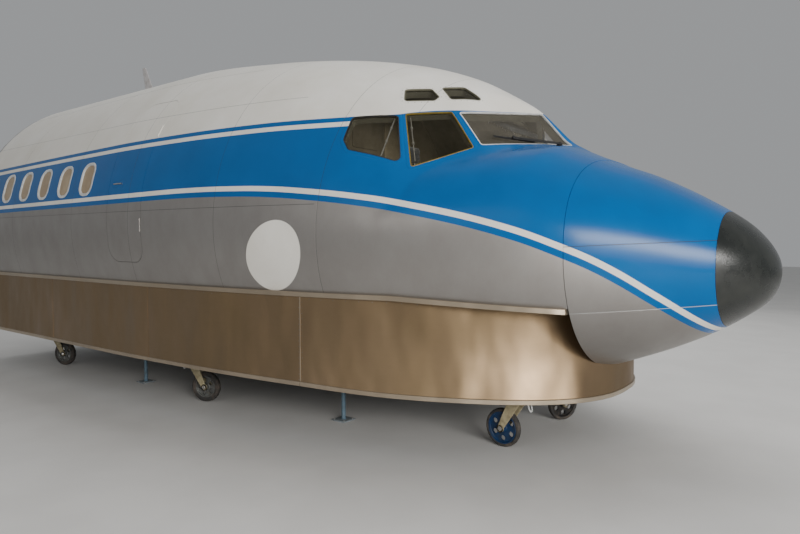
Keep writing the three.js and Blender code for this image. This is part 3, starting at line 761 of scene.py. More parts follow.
livery()
PAINTS = {  # color, worn color and then what else painted() takes
    "tip_black": ((.010, .012, .011), (.022, .024, .021), 0.27, 5.0),
    "cradle_paint": ((.07, .085, .095), (.045, .05, .05), 0.6, 7.0),
    "leg_paint": ((.115, .19, .25), (.09, .13, .16), 0.45, 12.0, 0.1),
    "foot_grey": ((.20, .23, .25), (.14, .15, .15), 0.5, 14.0, 0.1),
    "castor_cream": ((.38, .33, .20), (.20, .16, .09), 0.5, 20.0),
    "hub_blue": ((.002, .028, .095), (.012, .022, .04), 0.45, 18.0),
    "hub_grey": ((.12, .125, .12), (.07, .062, .05), 0.5, 18.0, 0.3),
    "dark_steel": ((.035, .035, .037), (.09, .075, .06), 0.42, 30.0, 0.8),
    "bright_steel": ((.5, .49, .47), (.32, .3, .27), 0.32, 30.0, 0.9),
    "screw_steel": ((.16, .13, .1), (.3, .27, .23), 0.5, 40.0, 0.6),
    "cabin_pane": ((.30, .22, .13), (.42, .33, .21), 0.12, 3.0),
    "brass_trim": ((.26, .185, .03), (.15, .11, .025), 0.45, 20.0, 0.3),
    "white_trim": ((.62, .63, .62), (.42, .42, .4), 0.4, 20.0),
    "gasket": ((.015, .015, .014), (.03, .03, .028), 0.6, 30.0),
    "lining": ((.13, .125, .085), (.08, .075, .05), 0.65, 5.0),
    "floor_mat": ((.12, .12, .115), (.07, .07, .068), 0.8, 8.0, 0.0, 0.004),
    "panel_paint": ((.075, .085, .09), (.05, .055, .058), 0.5, 12.0),
    "column_paint": ((.018, .018, .019), (.05, .05, .048), 0.4, 20.0),
    "wiper_black": ((.008, .008, .008), (.022, .021, .020), 0.6, 30.0),
    "bulkhead_metal": ((.40, .39, .375), (.33, .32, .305), 0.42, 2.2, 0.6),
    "strap_metal": ((.58, .57, .55), (.46, .45, .43), 0.36, 6.0, 0.5),
    "seat_piping": ((.03, .036, .042), (.05, .055, .06), 0.7, 30.0),
    "seat_frame": ((.16, .17, .17), (.10, .10, .10), 0.45, 20.0, 0.3),
    "wall_cream": ((.33, .29, .20), (.22, .19, .125), 0.55, 4.0),
    "door_grey": ((.17, .155, .115), (.11, .10, .07), 0.5, 6.0),
    "panel_black": ((.016, .017, .018), (.035, .035, .035), 0.55, 25.0),
    "rod_grey": ((.40, .39, .34), (.28, .27, .23), 0.35, 25.0, 0.4),
    "antenna_paint": ((.50, .48, .48), (.36, .34, .33), 0.4, 14.0),
    "dial_white": ((.6, .6, .58), (.5, .5, .48), 0.4, 30.0),
}
for name, values in PAINTS.items():
    painted(name, *values)
# Skirt sheet: satin aluminium whose brown tint is a painted reflection of a red floor
brushed("skirt_metal", (.25, .175, .105), (.205, .145, .08), 0.42, (.9, .9, .6))
brushed("ledge_metal", (.45, .38, .29), (.35, .285, .21), 0.36, (.6, .6, 2.0))
rubber("tyre_rubber", (.022, .021, .02), (.12, .095, .075))
glazing("cockpit_glass", (.030, .026, .015), 0.28)
# Windshield glass: its tint is lighter and more opaque than that of the side panes, a painted reflection
# on the windshield
glazing("front_glass_painted_reflection", (.105, .095, .075), 0.42)
cloth("seat_cloth", (.05, .065, .08), (.035, .045, .055))
cloth("belt_web", (.35, .33, .28), (.25, .23, .2))


# Skin of the fuselage behind the nose joint, as one thin shell with its openings
def side_prism(outline, low, high):
    """Prism between two y, from its outline of station and height."""
    return prism([(NOSE_X - s, low, z) for s, z in outline], (0, high - low, 0))


def below_cut(shift=0.0):
    far = LENGTH + 0.1
    return side_prism([(-.1, -.5), (far, -.5), (far, CUT_Z + shift), (CUT_BEND, CUT_Z + shift),
                       (NOSE_END, CUT_FRONT_Z + shift), (-.1, CUT_FRONT_Z + shift)], -2.5, 2.5)


def cabin_window(s):
    """Axes and outline of a small window of the cabin, on the port side."""
    a, u = CABIN_WINDOW_HALF
    return skin_axes(s, CABIN_WINDOW_Z), [(-a, -u), (a, -u), (a, u), (-a, u)]


def window_tool(axes, flat, radius, grow, reach):
    middle = on_plane(axes, rounded(flat, grow, radius))
    return prism(middle - axes["normal"] * reach, axes["normal"] * 2 * reach)


def cut_openings(obj, reach, cabin=()):
    """Cuts the cockpit's windows of both sides, and cabin windows, out of a wall."""
    tools = [window_tool(*window_plane(name), CORNER_RADIUS[name], OPENING_GROW, reach)
             for name in WINDOWS]
    tools += [window_tool(*cabin_window(s), CABIN_RADIUS, 0, CABIN_REACH) for s in cabin]
    for tool in tools:
        for _, cutter in reversed(both_sides(tool)):
            boolean(obj, cutter)


def door_tool(door, shrink):
    low, high = DOOR_SILL, DOOR_SILL + door["height"]
    corners = [(door["from"], low), (door["to"], low), (door["to"], high), (door["from"], high)]
    ends = (.5, 2.2) if door["side"] == "left" else (-2.2, -.5)
    return side_prism(rounded(corners, -shrink, DOOR_RADIUS, 12, 2), *ends)


def shell_stations(start, end, step):
    """Stations close together at the cockpit and wider along the cabin."""
    split = min(DECK_END, end)
    fine = np.linspace(start, split, round((split - start) / step) + 1)
    if end <= DECK_END:
        return fine
    return np.concatenate([fine, np.linspace(split, end, round((end - split) / step / 3) + 1)[1:]])


SHELL_STEP, SHELL_SIDES = .022, 288
CORE_STEP, CORE_SIDES = .05, 144
LINING_STEP, LINING_SIDES = .06, 96
NOSE_JOINT = .002  # the shell starts this far behind the radome's edge


def fuselage():
    start = NOSE_END + NOSE_JOINT
    outer = shell_stations(start, HULL_END, SHELL_STEP)
    shell = hull_solid(outer, SHELL_SIDES, skin_radius, -SKIN_LIFT)
    core = shell_stations(start + SKIN, HULL_END - SKIN, CORE_STEP)
    boolean(shell, hull_solid(core, CORE_SIDES, skin_radius, SKIN - SKIN_LIFT))
    boolean(shell, below_cut())
    cut_openings(shell, SKIN_REACH, CABIN_WINDOWS)
    for name, door in DOORS.items():
        leaf = boolean(copy_of(shell), door_tool(door, DOOR_GAP), "INTERSECT")
        place(f"{name}_leaf", smooth(leaf), "livery", replaces=[name])
        boolean(shell, door_tool(door, 0))
    place("fuselage_skin", smooth(shell), "livery",
          replaces=["cabin_forward", "cabin_aft"])


def cockpit_lining():
    """Inner wall of the cockpit, from the frames of its windows inward."""
    outer = shell_stations(NOSE_END + .03, COCKPIT_END - .02, LINING_STEP)
    inner = shell_stations(NOSE_END + WALL, COCKPIT_END + .02, LINING_STEP)
    wall = hull_solid(outer, LINING_SIDES, skin_radius, SKIN * 3)
    boolean(wall, hull_solid(inner, LINING_SIDES, skin_radius, WALL))
    boolean(wall, below_cut(.001))
    cut_openings(wall, LINING_REACH)
    place("cockpit_lining", smooth(wall), "lining", replaces=["cockpit_shell"])


def nose(node, start, end, count, sides, finish):
    """One body of the nose, its stations closer together toward the tip."""
    stations = np.linspace(math.sqrt(start), math.sqrt(end), count) ** 2
    place(f"{node}_skin", hull_solid(stations, sides, hull_radius), finish, replaces=[node])


fuselage()
cockpit_lining()
nose("radome", TIP_END + .001, NOSE_END - .001, 40, 160, "livery")
nose("radome_tip", 0, TIP_END - .001, 28, 128, "tip_black")

# Cockpit windows: raised frames, trims, panes and screws
TRIMS = {"windshield": "white_trim", "side_window_2": "brass_trim", "side_window_3": "gasket",
         "eyebrow_front": "lining", "eyebrow_rear": "lining"}
FRAME_PROFILE = ((.040, .0014), (.037, .0030), (.008, .0034), (.006, .002), (.004, -.012))
TRIM_PROFILE = ((.0085, .0042), (.0065, .0056), (.0005, .0052), (-.0015, -.002), (-.0015, -.010))
CABIN_PROFILE = ((.030, .0022), (.027, .005), (.004, .005), (.0, .002), (-.004, -.012))
SCREW_PITCH = .055
SCREW_GROW, SCREW_LIFT = .026, .0030
PANE_GROW, PANE_LIFT = .004, -.006
NARROW = .6  # width of the windshield's frame beside that of the others


def to_side(points, side):
    return np.asarray(points) * (1, SIDES[side], 1)


def ring(axes, flat, radius, profile, side):
    """A raised frame round an opening, its profile given as growth and lift."""
    loops = [drape(axes, rounded(flat, grow, radius), lift) for grow, lift in profile]
    return on_side(skin_of(loops), side)


def pane(axes, flat, radius, grow, lift, side):
    """A sheet of glass that follows the skin, drawn in rings toward its middle."""
    outline = rounded(flat, grow, radius)
    middle, count = outline.mean(0), len(outline)
    loops = [drape(axes, middle + (outline - middle) * share, lift) for share in (1, .75, .5, .25)]
    faces = loft_faces(4, count)
    faces += [(3 * count + i, 3 * count + (i + 1) % count, 4 * count) for i in range(count)]
    obj = mesh_object(np.concatenate([*loops, drape(axes, middle[None], lift)]), faces)
    if obj.data.polygons[0].normal.y < 0:
        obj.data.flip_normals()
    return on_side(smooth(obj, 60), side)


def cockpit_windows():
    screws = {"eyebrow": [], "main": []}
    for side in SIDES:
        for name in WINDOWS:
            shape = (*window_plane(name), CORNER_RADIUS[name])
            front = name == "windshield"
            wide = NARROW if front else 1
            profile = [(grow * wide if grow > .02 else grow, lift) for grow, lift in FRAME_PROFILE]
            place(f"{name}_frame_{side}", ring(*shape, profile, side), "livery")
            place(f"{name}_trim_{side}", ring(*shape, TRIM_PROFILE, side), TRIMS[name])
            place(f"{name}_pane_{side}", pane(*shape, PANE_GROW, PANE_LIFT, side),
                  "front_glass_painted_reflection" if front else "cockpit_glass",
                  replaces=[f"{name}_{side}"])
            axes, flat, radius = shape
            at = evenly(rounded(flat, SCREW_GROW, radius), SCREW_PITCH)
            at = drape(axes, at, SCREW_LIFT)
            kind = "eyebrow" if name.startswith("eyebrow") else "main"
            screws[kind] += [to_side((point, axes["normal"]), side) for point in at]
    for kind, finish in (("eyebrow", "screw_steel"), ("main", "livery")):
        points, normals = np.array(screws[kind]).swapaxes(0, 1)
        place(f"window_screws_{kind}", domes(points, normals, .0045, .0012, 8), finish)


def cabin_windows():
    for side in SIDES:
        shapes = [(*cabin_window(s), CABIN_RADIUS) for s in CABIN_WINDOWS]
        frames = [ring(*shape, CABIN_PROFILE, side) for shape in shapes]
        panes = [pane(*shape, .002, -.007, side) for shape in shapes]
        place(f"cabin_window_frames_{side}", joined(frames), "white_trim")
        place(f"cabin_window_panes_{side}", joined(panes), "cabin_pane")


cockpit_windows()
cabin_windows()

# Rivets: rows round the frames and along the laps
RIVET_PITCH = .034
RIVET_RADIUS = .0038
RIVET_HEIGHT = .0011
RIVET_SUNK = .0002
BESIDE_SEAM = .018
OVER_LAP = (.012, .036)
OVER_CUT = .035


def in_a_door(s, z, side):
    return any(side == door["side"] and door["from"] - DOOR_CLEAR < s < door["to"] + DOOR_CLEAR
               and z < DOOR_SILL + door["height"] + DOOR_CLEAR for door in DOORS.values())


def rivet_rows():
    """Stations and angles of the rivets of the port half of the skin."""
    rows = []
    frames = [CABIN_WINDOWS[0] + FRAME_PITCH * (.5 - k) for k in range(12)]
    doubled = [s + shift for s in SEAM_STATIONS for shift in (-BESIDE_SEAM, BESIDE_SEAM)]
    for s in [*(f for f in frames if 3.0 < f < 9.1), *doubled]:
        start = angle_at(np.array([s]), np.array([CUT_Z + .01]))[0]
        radius = float(column("half", s)[0])
        count = int((math.pi / 2 - start) * radius / RIVET_PITCH)
        theta = start + (np.arange(count) + .5) / count * (math.pi / 2 - start)
        rows.append((np.full(count, s), theta))
    for height, start, end in LAP_HEIGHTS:
        for shift in OVER_LAP:
            s = np.arange(start + .02, min(end, HULL_END) - .02, RIVET_PITCH)
            rows.append((s, angle_at(s, np.full(len(s), height + shift))))
    s = np.arange(1.20, HULL_END, RIVET_PITCH)
    rows.append((s, angle_at(s, cut_height(s) + OVER_CUT)))
    return (np.concatenate(part) for part in zip(*rows))


def hull_rivets():
    for side in SIDES:
        s, theta = rivet_rows()
        points, normals = skin_frame(s, theta)
        keep = [not in_a_door(a, p[2], side) for a, p in zip(s, points)]
        points, normals = to_side(points, side)[keep], to_side(normals, side)[keep]
        points = points + normals * (SKIN_LIFT - RIVET_SUNK)
        heads = domes(points, normals, RIVET_RADIUS, RIVET_HEIGHT)
        place(f"hull_rivets_{side}", heads, "livery")


hull_rivets()

# Rear face: straps over the joints of its sheets, and rivets
STRAP_HALF = .030
STRAP_LIFT = .002
STRAPS_Y = (-1.35, -.45, .45, 1.35)
STRAP_Z = 2.05
REAR_PITCH = .05


def rear_outline():
    """Edge of the rear bulkhead as y and z, in order round its middle."""
    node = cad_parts["rear_bulkhead"]
    points = np.array([node.matrix_world @ v.co for v in node.data.vertices])
    edge = np.unique(points[points[:, 0] < cad_low.x + .001][:, 1:].round(5), axis=0)
    edge = edge[np.linalg.norm(edge - (0, STRAP_Z), axis=1) > 1]
    from_middle = edge - (0, STRAP_Z)
    return edge[np.argsort(np.arctan2(*from_middle.T[::-1]))]


def inset_edge(edge, by):
    out = edge - (0, STRAP_Z)
    return edge - out / np.linalg.norm(out, axis=1)[:, None] * by


def crossings(edge, axis, value):
    """Where a closed outline crosses a line, measured along that line."""
    a, b = edge, np.roll(edge, -1, axis=0)
    hit = (a[:, axis] - value) * (b[:, axis] - value) < 0
    share = (value - a[hit, axis]) / (b[hit, axis] - a[hit, axis])
    return a[hit, 1 - axis] + share * (b[hit, 1 - axis] - a[hit, 1 - axis])


def inner_span(edge, axis, value):
    ends = [crossings(edge, axis, value + shift) for shift in (-STRAP_HALF, STRAP_HALF)]
    return max(e.min() for e in ends), min(e.max() for e in ends)


def rear_face():
    edge, x = rear_outline(), cad_low.x
    rims = ((.004, 0), (.006, STRAP_LIFT), (.062, STRAP_LIFT), (.064, 0))
    loops = [np.column_stack([np.full(len(edge), x - lift), inset_edge(edge, by)])
             for by, lift in rims]
    pieces = [skin_of(loops)]
    heads = [evenly(inset_edge(edge, by), REAR_PITCH) for by in (.018, .048)]
    inner = inset_edge(edge, .066)

    def strap(axis, value, start, end):
        low, high = [x - STRAP_LIFT, 0, 0], [x + .001, 0, 0]
        low[1 + axis], high[1 + axis] = value - STRAP_HALF, value + STRAP_HALF
        low[2 - axis], high[2 - axis] = start, end
        pieces.append(bar(None, low, high, .0008))
        along = np.arange(start + .03, end - .01, REAR_PITCH)
        for shift in (-.016, .016):
            row = np.column_stack([np.full(len(along), value + shift), along])
            heads.append(row if axis == 0 else row[:, ::-1])

    for y in STRAPS_Y:
        strap(0, y, *inner_span(inner, 0, y))
    first, last = inner_span(inner, 1, STRAP_Z)
    starts = [first, *(y + STRAP_HALF for y in STRAPS_Y)]
    ends = [*(y - STRAP_HALF for y in STRAPS_Y), last]
    for start, end in zip(starts, ends):
        strap(1, STRAP_Z, start, end)
    place("rear_straps", joined(pieces), "strap_metal")
    points = np.concatenate(heads)
    points = np.column_stack([np.full(len(points), x - STRAP_LIFT), points])
    rivets = domes(points, np.tile((-1.0, 0, 0), (len(points), 1)), .005, .0018)
    place("rear_rivets", rivets, "bulkhead_metal")


rear_face()

# Skirt and ledge under the hull
PROW_EDGE = SKIRT_TIP + (PROW_HALF / PROW_WIDTH) ** (1 / PROW_POWER)
SKIRT_COVERS = (5.150, 7.150)  # stations of the narrow plates over the later seams
SHEET_GAP = .0012
TRIM_DROP = .002  # the plates end this far under the ledge
SKIRT_RIVET_PITCH, LEDGE_RIVET_PITCH = .045, .11
SKIRT_RIVET_SHIFT = .016


def cut_half(s):
    """Half width of the hull where the cut ends it."""
    mid, low = column("mid", s), column("low", s)
    depth = (mid - cut_height(s)) / (mid - column("bottom", s))
    return column("half", s) * (1 - depth ** low) ** (1 / low)


def skirt_half(s):
    prow = PROW_WIDTH * np.maximum(s - SKIRT_TIP, 1e-12) ** PROW_POWER
    side = cut_half(s) + SKIRT_OUT
    return (prow ** -PROW_BLEND + side ** -PROW_BLEND) ** (-1 / PROW_BLEND)


def skirt_bottom(s):
    share = np.clip((SKIRT_DROOP_END - s) / (SKIRT_DROOP_END - SKIRT_TIP), 0, 1)
    return SKIRT_BOTTOM_Z + (SKIRT_FRONT_Z - SKIRT_BOTTOM_Z) * share


def plan_normals(s, y):
    """Outward directions, in plan, along the port half of an outline."""
    dx, dy = np.gradient(NOSE_X - s), np.gradient(y)
    if y[0] < 1e-3:
        dx[0], dy[0] = 0, 1
    length = np.hypot(dx, dy)
    return np.stack([dy / length, -dx / length], -1)


def skirt_line():
    """Stations of the port half of the skirt, its half widths and outward directions."""
    fine = SKIRT_TIP + np.linspace(0, 1, 60) ** (1 / PROW_POWER) * (2.6 - SKIRT_TIP)
    aft = np.linspace(2.7, HULL_END, 60)
    s = np.unique(np.concatenate([fine, [PROW_EDGE, SKIRT_JOINT], aft]))
    y = skirt_half(s)
    y[0] = 0
    return s, y, plan_normals(s, y)


def on_skirt(at):
    """Half widths and outward directions of the skirt at given stations."""
    s, y, normals = skirt_line()
    return np.interp(at, s, y), np.stack([np.interp(at, s, n) for n in normals.T], -1)


def swept(s, y, normals, profile):
    """A section of (outward, height) points carried along an outline, with closed ends."""
    loops = [np.stack([NOSE_X - s + grow * normals[:, 0], y + grow * normals[:, 1],
                       np.broadcast_to(height, np.shape(s))], -1) for grow, height in profile]
    return solid(np.stack(loops, 1), 35)


def sheet(s, y, normals, name, side="left", replaces=()):
    """One sheet of the skirt with its bright lower lip."""
    top, low = cut_height(s) - LEDGE_DEPTH - .0005, skirt_bottom(s)
    lip = low + LIP_HEIGHT
    profile = ((-.006, top), (-.0012, top), (0, top - .0012), (0, lip + .004), (.002, lip + .001),
               (LIP_OUT - .002, lip), (LIP_OUT, lip - .002), (LIP_OUT, low + .002),
               (LIP_OUT - .002, low), (-.006, low))
    obj = on_side(swept(s, y, normals, profile), side)
    place(name, obj, "skirt_metal", replaces=replaces)
    obj.data.materials.append(FINISH["ledge_metal"])
    for face in obj.data.polygons:
        if face.center.z < float(skirt_bottom(NOSE_X - face.center.x)) + LIP_HEIGHT + .001:
            face.material_index = 1
    return obj


def skirt_sheets():
    s, y, normals = skirt_line()
    a, b, n = (part[s <= PROW_EDGE] for part in (s, y, normals))
    sheet(np.concatenate([a[::-1], a[1:]]), np.concatenate([-b[::-1], b[1:]]),
          np.concatenate([(n * (1, -1))[::-1], n[1:]]), "skirt_prow_sheet", replaces=["skirt_prow"])
    for side in SIDES:
        for part, keep in (("forward", (s >= PROW_EDGE) & (s <= SKIRT_JOINT)),
                           ("aft", s >= SKIRT_JOINT)):
            obj = sheet(s[keep], y[keep], normals[keep], f"skirt_{part}_sheet_{side}", side,
                        [f"skirt_{part}_{side}"])
            if part == "aft":
                for v in obj.data.vertices:
                    v.co.x = min(v.co.x, NOSE_X - SKIRT_JOINT - SHEET_GAP)


def skirt_cover(at, lift, foot):
    """A narrow plate up the skirt, over a seam or along a lapped edge."""
    low, high = skirt_bottom(at) + foot, cut_height(at) - LEDGE_DEPTH - TRIM_DROP
    return swept(at, *on_skirt(at), ((-.001, high), (lift, high), (lift, low), (-.001, low)))


def skirt_trim(name, source, finish):
    for side, piece in both_sides(source):
        place(f"{name}_{side}", piece, finish)


def ledges():
    s = np.concatenate([np.linspace(NOSE_END + .010, 2.6, 44), np.linspace(2.7, HULL_END, 50)])
    y = cut_half(s)
    normals = plan_normals(s, y)
    top = cut_height(s) - .0003
    foot = top - LEDGE_DEPTH
    loops = [np.stack([NOSE_X - s + grow * normals[:, 0], y + grow * normals[:, 1], height], -1)
             for grow, height in ((LEDGE_OUT - .003, top), (LEDGE_OUT, top - .003),
                                  (LEDGE_OUT, foot + .003), (LEDGE_OUT - .003, foot))]
    loops += [np.stack([NOSE_X - s, skirt_half(s) - .085, height], -1) for height in (foot, top)]
    loops = np.stack(loops, 1)
    loops[..., 0] = np.minimum(loops[..., 0], NOSE_X - NOSE_END - .010)
    for side, piece in both_sides(solid(loops, 35)):
        place(f"ledge_angle_{side}", piece, "ledge_metal", replaces=[f"ledge_{side}"])


def skirt_rivets():
    rows = []
    for seam in (SKIRT_JOINT, *SKIRT_COVERS):
        for at in (seam - SKIRT_RIVET_SHIFT, seam + SKIRT_RIVET_SHIFT):
            low, high = float(skirt_bottom(at)) + .05, float(cut_height(at)) - LEDGE_DEPTH - .03
            rows += [(at, z) for z in np.arange(low, high, SKIRT_RIVET_PITCH)]
    for at in np.arange(1.30, HULL_END - .05, LEDGE_RIVET_PITCH):
        rows.append((at, float(cut_height(at)) - LEDGE_DEPTH - .018))
    at, z = np.array(rows).T
    half, out = on_skirt(at)
    points, outs = np.stack([NOSE_X - at, half, z], -1), np.pad(out, ((0, 0), (0, 1)))
    for side in SIDES:
        heads = domes(to_side(points, side), to_side(outs, side), .0042, .0016, 8)
        place(f"skirt_rivets_{side}", heads, "screw_steel")


skirt_sheets()
# The strip over the skirt's joint takes the lighter ledge metal: a painted highlight along the raised
# edge of the joint
skirt_trim("skirt_edge", skirt_cover(SKIRT_JOINT + np.array([-.003, .006]), .0022, .033),
           "ledge_metal")
ledges()
skirt_rivets()
skirt_trim("skirt_covers", joined([skirt_cover(np.linspace(seam - .028, seam + .028, 5), .0014, .034)
                                   for seam in SKIRT_COVERS]), "skirt_metal")

# Castors, made once around the swivel axis with the trail along +X
CASTORS = {"front": (1.660, {"left": (.440, 241), "right": (.705, 175)}),
           "middle": (5.020, {"left": (1.350, 23), "right": (1.350, 23)}),
           "rear": (8.100, {"left": (1.350, 23), "right": (1.350, 23)})}
TRAIL = .150
WHEEL_RADIUS = .155
AXLE = (TRAIL, 0, WHEEL_RADIUS)
HUB_HALF = .038
EYE_RADIUS = .030  # end of the fork's cheek round the axle
DRILL_TIP = .0001  # a drill that came to a point would not be a closed mesh


def bolts(x, y, z, way, across, depth):
    """Four bolt heads at the corners of a plate."""
    return [hexagon("bright_steel", (i, j, z), (0, 0, way), across, depth)
            for i in (-x, x) for j in (-y, y)]


def fork():
    """Swivel head, bent fork, axle and lock lever."""
    head = ((0, .4445), (.040, .4445), (.052, .452), (.055, .466), (.055, .478), (.050, .486),
            (.038, .490), (.038, .496), (.050, .500), (.054, .508), (.054, .524), (.050, .5305),
            (0, .5305))
    nut = ((0, .4280), (.014, .4280), (.019, .4330), (.019, .4450), (0, .4450))
    inner, outer = HUB_HALF + .006, HUB_HALF + .014
    bridge = [(-.056, .438), (.062, .438), (.062, .446), (-.056, .446)]
    arc = np.linspace(math.radians(250), math.radians(-10), 12)
    foot = [(TRAIL + EYE_RADIUS * math.cos(a), WHEEL_RADIUS + EYE_RADIUS * math.sin(a)) for a in arc]
    outline = [(-.056, .446), (-.056, .418), *foot, (.068, .418), (.062, .446)]
    cheek = plate("castor_cream", outline, inner, outer, .0025)
    half_lever = [(-.050, -.024, .434), (-.066, -.024, .430), (-.082, -.024, .395),
                  (-.096, -.020, .345), (-.100, -.008, .326)]
    lever = half_lever + [(x, -y, z) for x, y, z in reversed(half_lever)]
    parts = [lathe("castor_cream", head, sides=40), plate("castor_cream", bridge, -outer, outer),
             cheek, on_side(copy_of(cheek), "right"), lathe("bright_steel", nut, sides=6),
             drum("bright_steel", .0095, -.060, .060, AXLE, Y_AXIS, 20)]
    for sign in (-1, 1):
        at, out = (TRAIL, sign * outer, WHEEL_RADIUS), (0, sign, 0)
        parts += [hexagon("bright_steel", at, out, .027, .009),
                  drum("bright_steel", .019, 0, .0022, at, out, 24)]
    return joined([*parts, tube("white_trim", lever, .0055)])


def tyre(inner):
    half, crown = .026, WHEEL_RADIUS - .0003
    side = [(inner, -half + .004), (inner + .008, -half), (crown - .012, -half + .001),
            (crown - .004, -half + .006), (crown, -.008)]
    profile = side + [(r, -up) for r, up in reversed(side)]
    return lathe("tyre_rubber", [*profile, profile[0]], AXLE, Y_AXIS, 48)


def hub(finish, rim, holes, radius, at_radius):
    """Cast wheel: rim, web with holes, and boss."""
    side = [(.0102, HUB_HALF - .002), (.012, HUB_HALF), (.027, HUB_HALF), (.030, HUB_HALF - .003),
            (.034, .012), (.040, .008), (rim - .0145, .008), (rim - .0105, .012),
            (rim - .0095, .024), (rim - .0075, .0255), (rim - .0015, .0255), (rim, .0235)]
    profile = side + [(r, -up) for r, up in reversed(side)]
    body = lathe(None, [*profile, profile[0]], AXLE, Y_AXIS, 72)
    for k in range(holes):
        a = 2 * math.pi * (k + .5) / holes
        at = (TRAIL + at_radius * math.cos(a), 0, WHEEL_RADIUS + at_radius * math.sin(a))
        drill = ((DRILL_TIP, -.05), (radius, -.05), (radius, .05), (DRILL_TIP, .05))
        boolean(body, lathe(None, drill, at, Y_AXIS, 28))
    return dressed(bevelled(body, .0016, 50), finish)


def castor_plate():
    """Mounting plate under the beam, with its four bolts."""
    body = block("castor_cream", (-.070, -.058, .5312), (.070, .058, .5395), .002, .001)
    return joined([body, *bolts(.056, .044, .5312, -1, .019, .008)])


def castor_set():
    forks, base = fork(), castor_plate()
    wheels = {"front": (hub("hub_blue", .128, 6, .0215, .085), tyre(.128)),
              "middle": (hub("hub_grey", .1085, 5, .0235, .0665), tyre(.1085))}
    wheels["rear"] = wheels["middle"]
    for spot, (station, sides) in CASTORS.items():
        for side, (y, heading) in sides.items():
            turn = Matrix.Rotation(math.radians(heading), 4, "Z")
            turn = standing(station, SIDES[side] * y) @ turn
            name = f"{spot}_{side}"
            for source, kind, slot, tail in (
                    (forks, "castor_fork", "castor_paint", ""),
                    (wheels[spot][0], "castor_wheel", "castor_tyre", "_hub"),
                    (wheels[spot][1], "castor_wheel", "castor_tyre", "_tyre")):
                piece, node = copy_of(source, turn), f"{kind}_{name}"
                # The front left hub takes dark steel in place of the blue of its twin: painted shade on
                # that wheel
                finish = "dark_steel" if tail == "_hub" and name == "front_left" else None
                place(f"{kind}{tail}_{name}_piece", piece, finish, node,
                      () if tail == "_hub" else [node])
            place(f"castor_plate_{name}", copy_of(base, turn), None)
    for source in (forks, base, *wheels["front"], *wheels["middle"]):
        bpy.data.objects.remove(source)


castor_set()

# Support legs: sleeve, round leg, clamp and foot plate
LEGS = {"front": (3.320, .930), "rear": (6.190, 1.190)}


def legs():
    sleeve = ((0, .300), (.0225, .300), (.0245, .303), (.0245, .5395), (0, .5395))
    collar = ((.0195, .278), (.0280, .278), (.0295, .280), (.0295, .300), (.0280, .302),
              (.0195, .302), (.0195, .278))
    weld = ((.0190, .0125), (.0270, .0125), (.0245, .0165), (.0190, .0200), (.0190, .0125))
    source = joined([lathe("cradle_paint", sleeve), drum("leg_paint", .0195, .0115, .310),
                     lathe("dark_steel", collar), lathe("leg_paint", weld),
                     hexagon("bright_steel", (.0285, 0, .290), X_AXIS, .014, .012),
                     bar("foot_grey", (-.078, -.078, 0), (.078, .078, .012), .0025),
                     *bolts(.058, .058, .012, 1, .017, .007)])
    for spot, (station, y) in LEGS.items():
        for side, sign in SIDES.items():
            place(f"leg_{spot}_{side}_piece", copy_of(source, standing(station, sign * y)), None,
                  replaces=[f"leg_{spot}_{side}"])
    bpy.data.objects.remove(source)


legs()

# Wipers, laid out in the plane of the windshield
WIPER = {"pivot": (-.266, -.257), "joint": (.096, -.137), "inner": (-.100, -.167),
         "outer": (.264, -.112)}


def wipers():
    axes, _ = window_plane("windshield")

    def at(name, lift, shift=0.0):
        a, u = WIPER[name]
        return drape(axes, np.array([[a, u + shift]]), lift)[0]

    def boss(base, tip, r):
        depth = float(np.linalg.norm(tip - base))
        return lathe(None, ((0, 0), (r, 0), (r, depth * .8), (r * .7, depth), (0, depth)), base,
                     tip - base, 20)

    elbow = at("pivot", .034) * .85 + at("joint", .034) * .15
    parts = [tube(None, [at("pivot", .026), elbow, at("joint", .026)], .0070, 12),
             tube(None, [at("pivot", .026, -.020), at("joint", .020, -.012)], .0045, 8),
             tube(None, [at("joint", .028), at("joint", .008)], .0065, 8),
             tube(None, [at("inner", .004), at("joint", .006), at("outer", .004)], .0055, 8),
             tube(None, [at("inner", .008), at("joint", .016), at("outer", .008)], .0042, 8),
             boss(at("pivot", -.010), at("pivot", .036), .021),
             boss(at("joint", .010), at("joint", .036), .012)]
    for side, piece in both_sides(joined(parts)):
        place(f"wiper_{side}_piece", piece, "wiper_black",
              replaces=[f"wiper_{side}"])


wipers()

# Blade antenna on the crown
ANTENNA_FOOT = (7.823, 8.063, .014)
ANTENNA_TIP = (8.092, 8.184, .008)
ANTENNA_HEIGHT = .488


def antenna():
    t = full_turn(28)
    crown = cad_high.z - ANTENNA_HEIGHT
    rings = []
    for share, shrink in ((0, 1), (.5, 1), (.93, 1), (.975, .9), (.993, .72), (1, .45)):
        front, rear, half = (a + (b - a) * share for a, b in zip(ANTENNA_FOOT, ANTENNA_TIP))
        middle, reach = (front + rear) / 2, (rear - front) / 2 * shrink
        rings.append(np.stack([NOSE_X - middle + reach * np.cos(t), half * shrink * np.sin(t),
                               np.full(len(t), crown + ANTENNA_HEIGHT * share)], -1))
    place("crown_antenna_blade", solid(rings, 50), "antenna_paint",
          replaces=["crown_antenna"])
    front, rear, half = ANTENNA_FOOT
    middle, reach = (front + rear) / 2, (rear - front) / 2 + .020
    loops = []
    for grow, lift in ((.004, -.004), (.003, .001), (0, .0035), (-.016, .0035), (-.016, -.004)):
        y = (half + .020 + grow) * np.sin(t)
        drop = HULL["half"][-1] - np.sqrt(HULL["half"][-1] ** 2 - y ** 2)
        loops.append(np.stack([NOSE_X - middle + (reach + grow) * np.cos(t), y, crown + lift - drop],
                              -1))
    place("crown_antenna_base", skin_of([*loops, loops[0]]), "antenna_paint")


antenna()


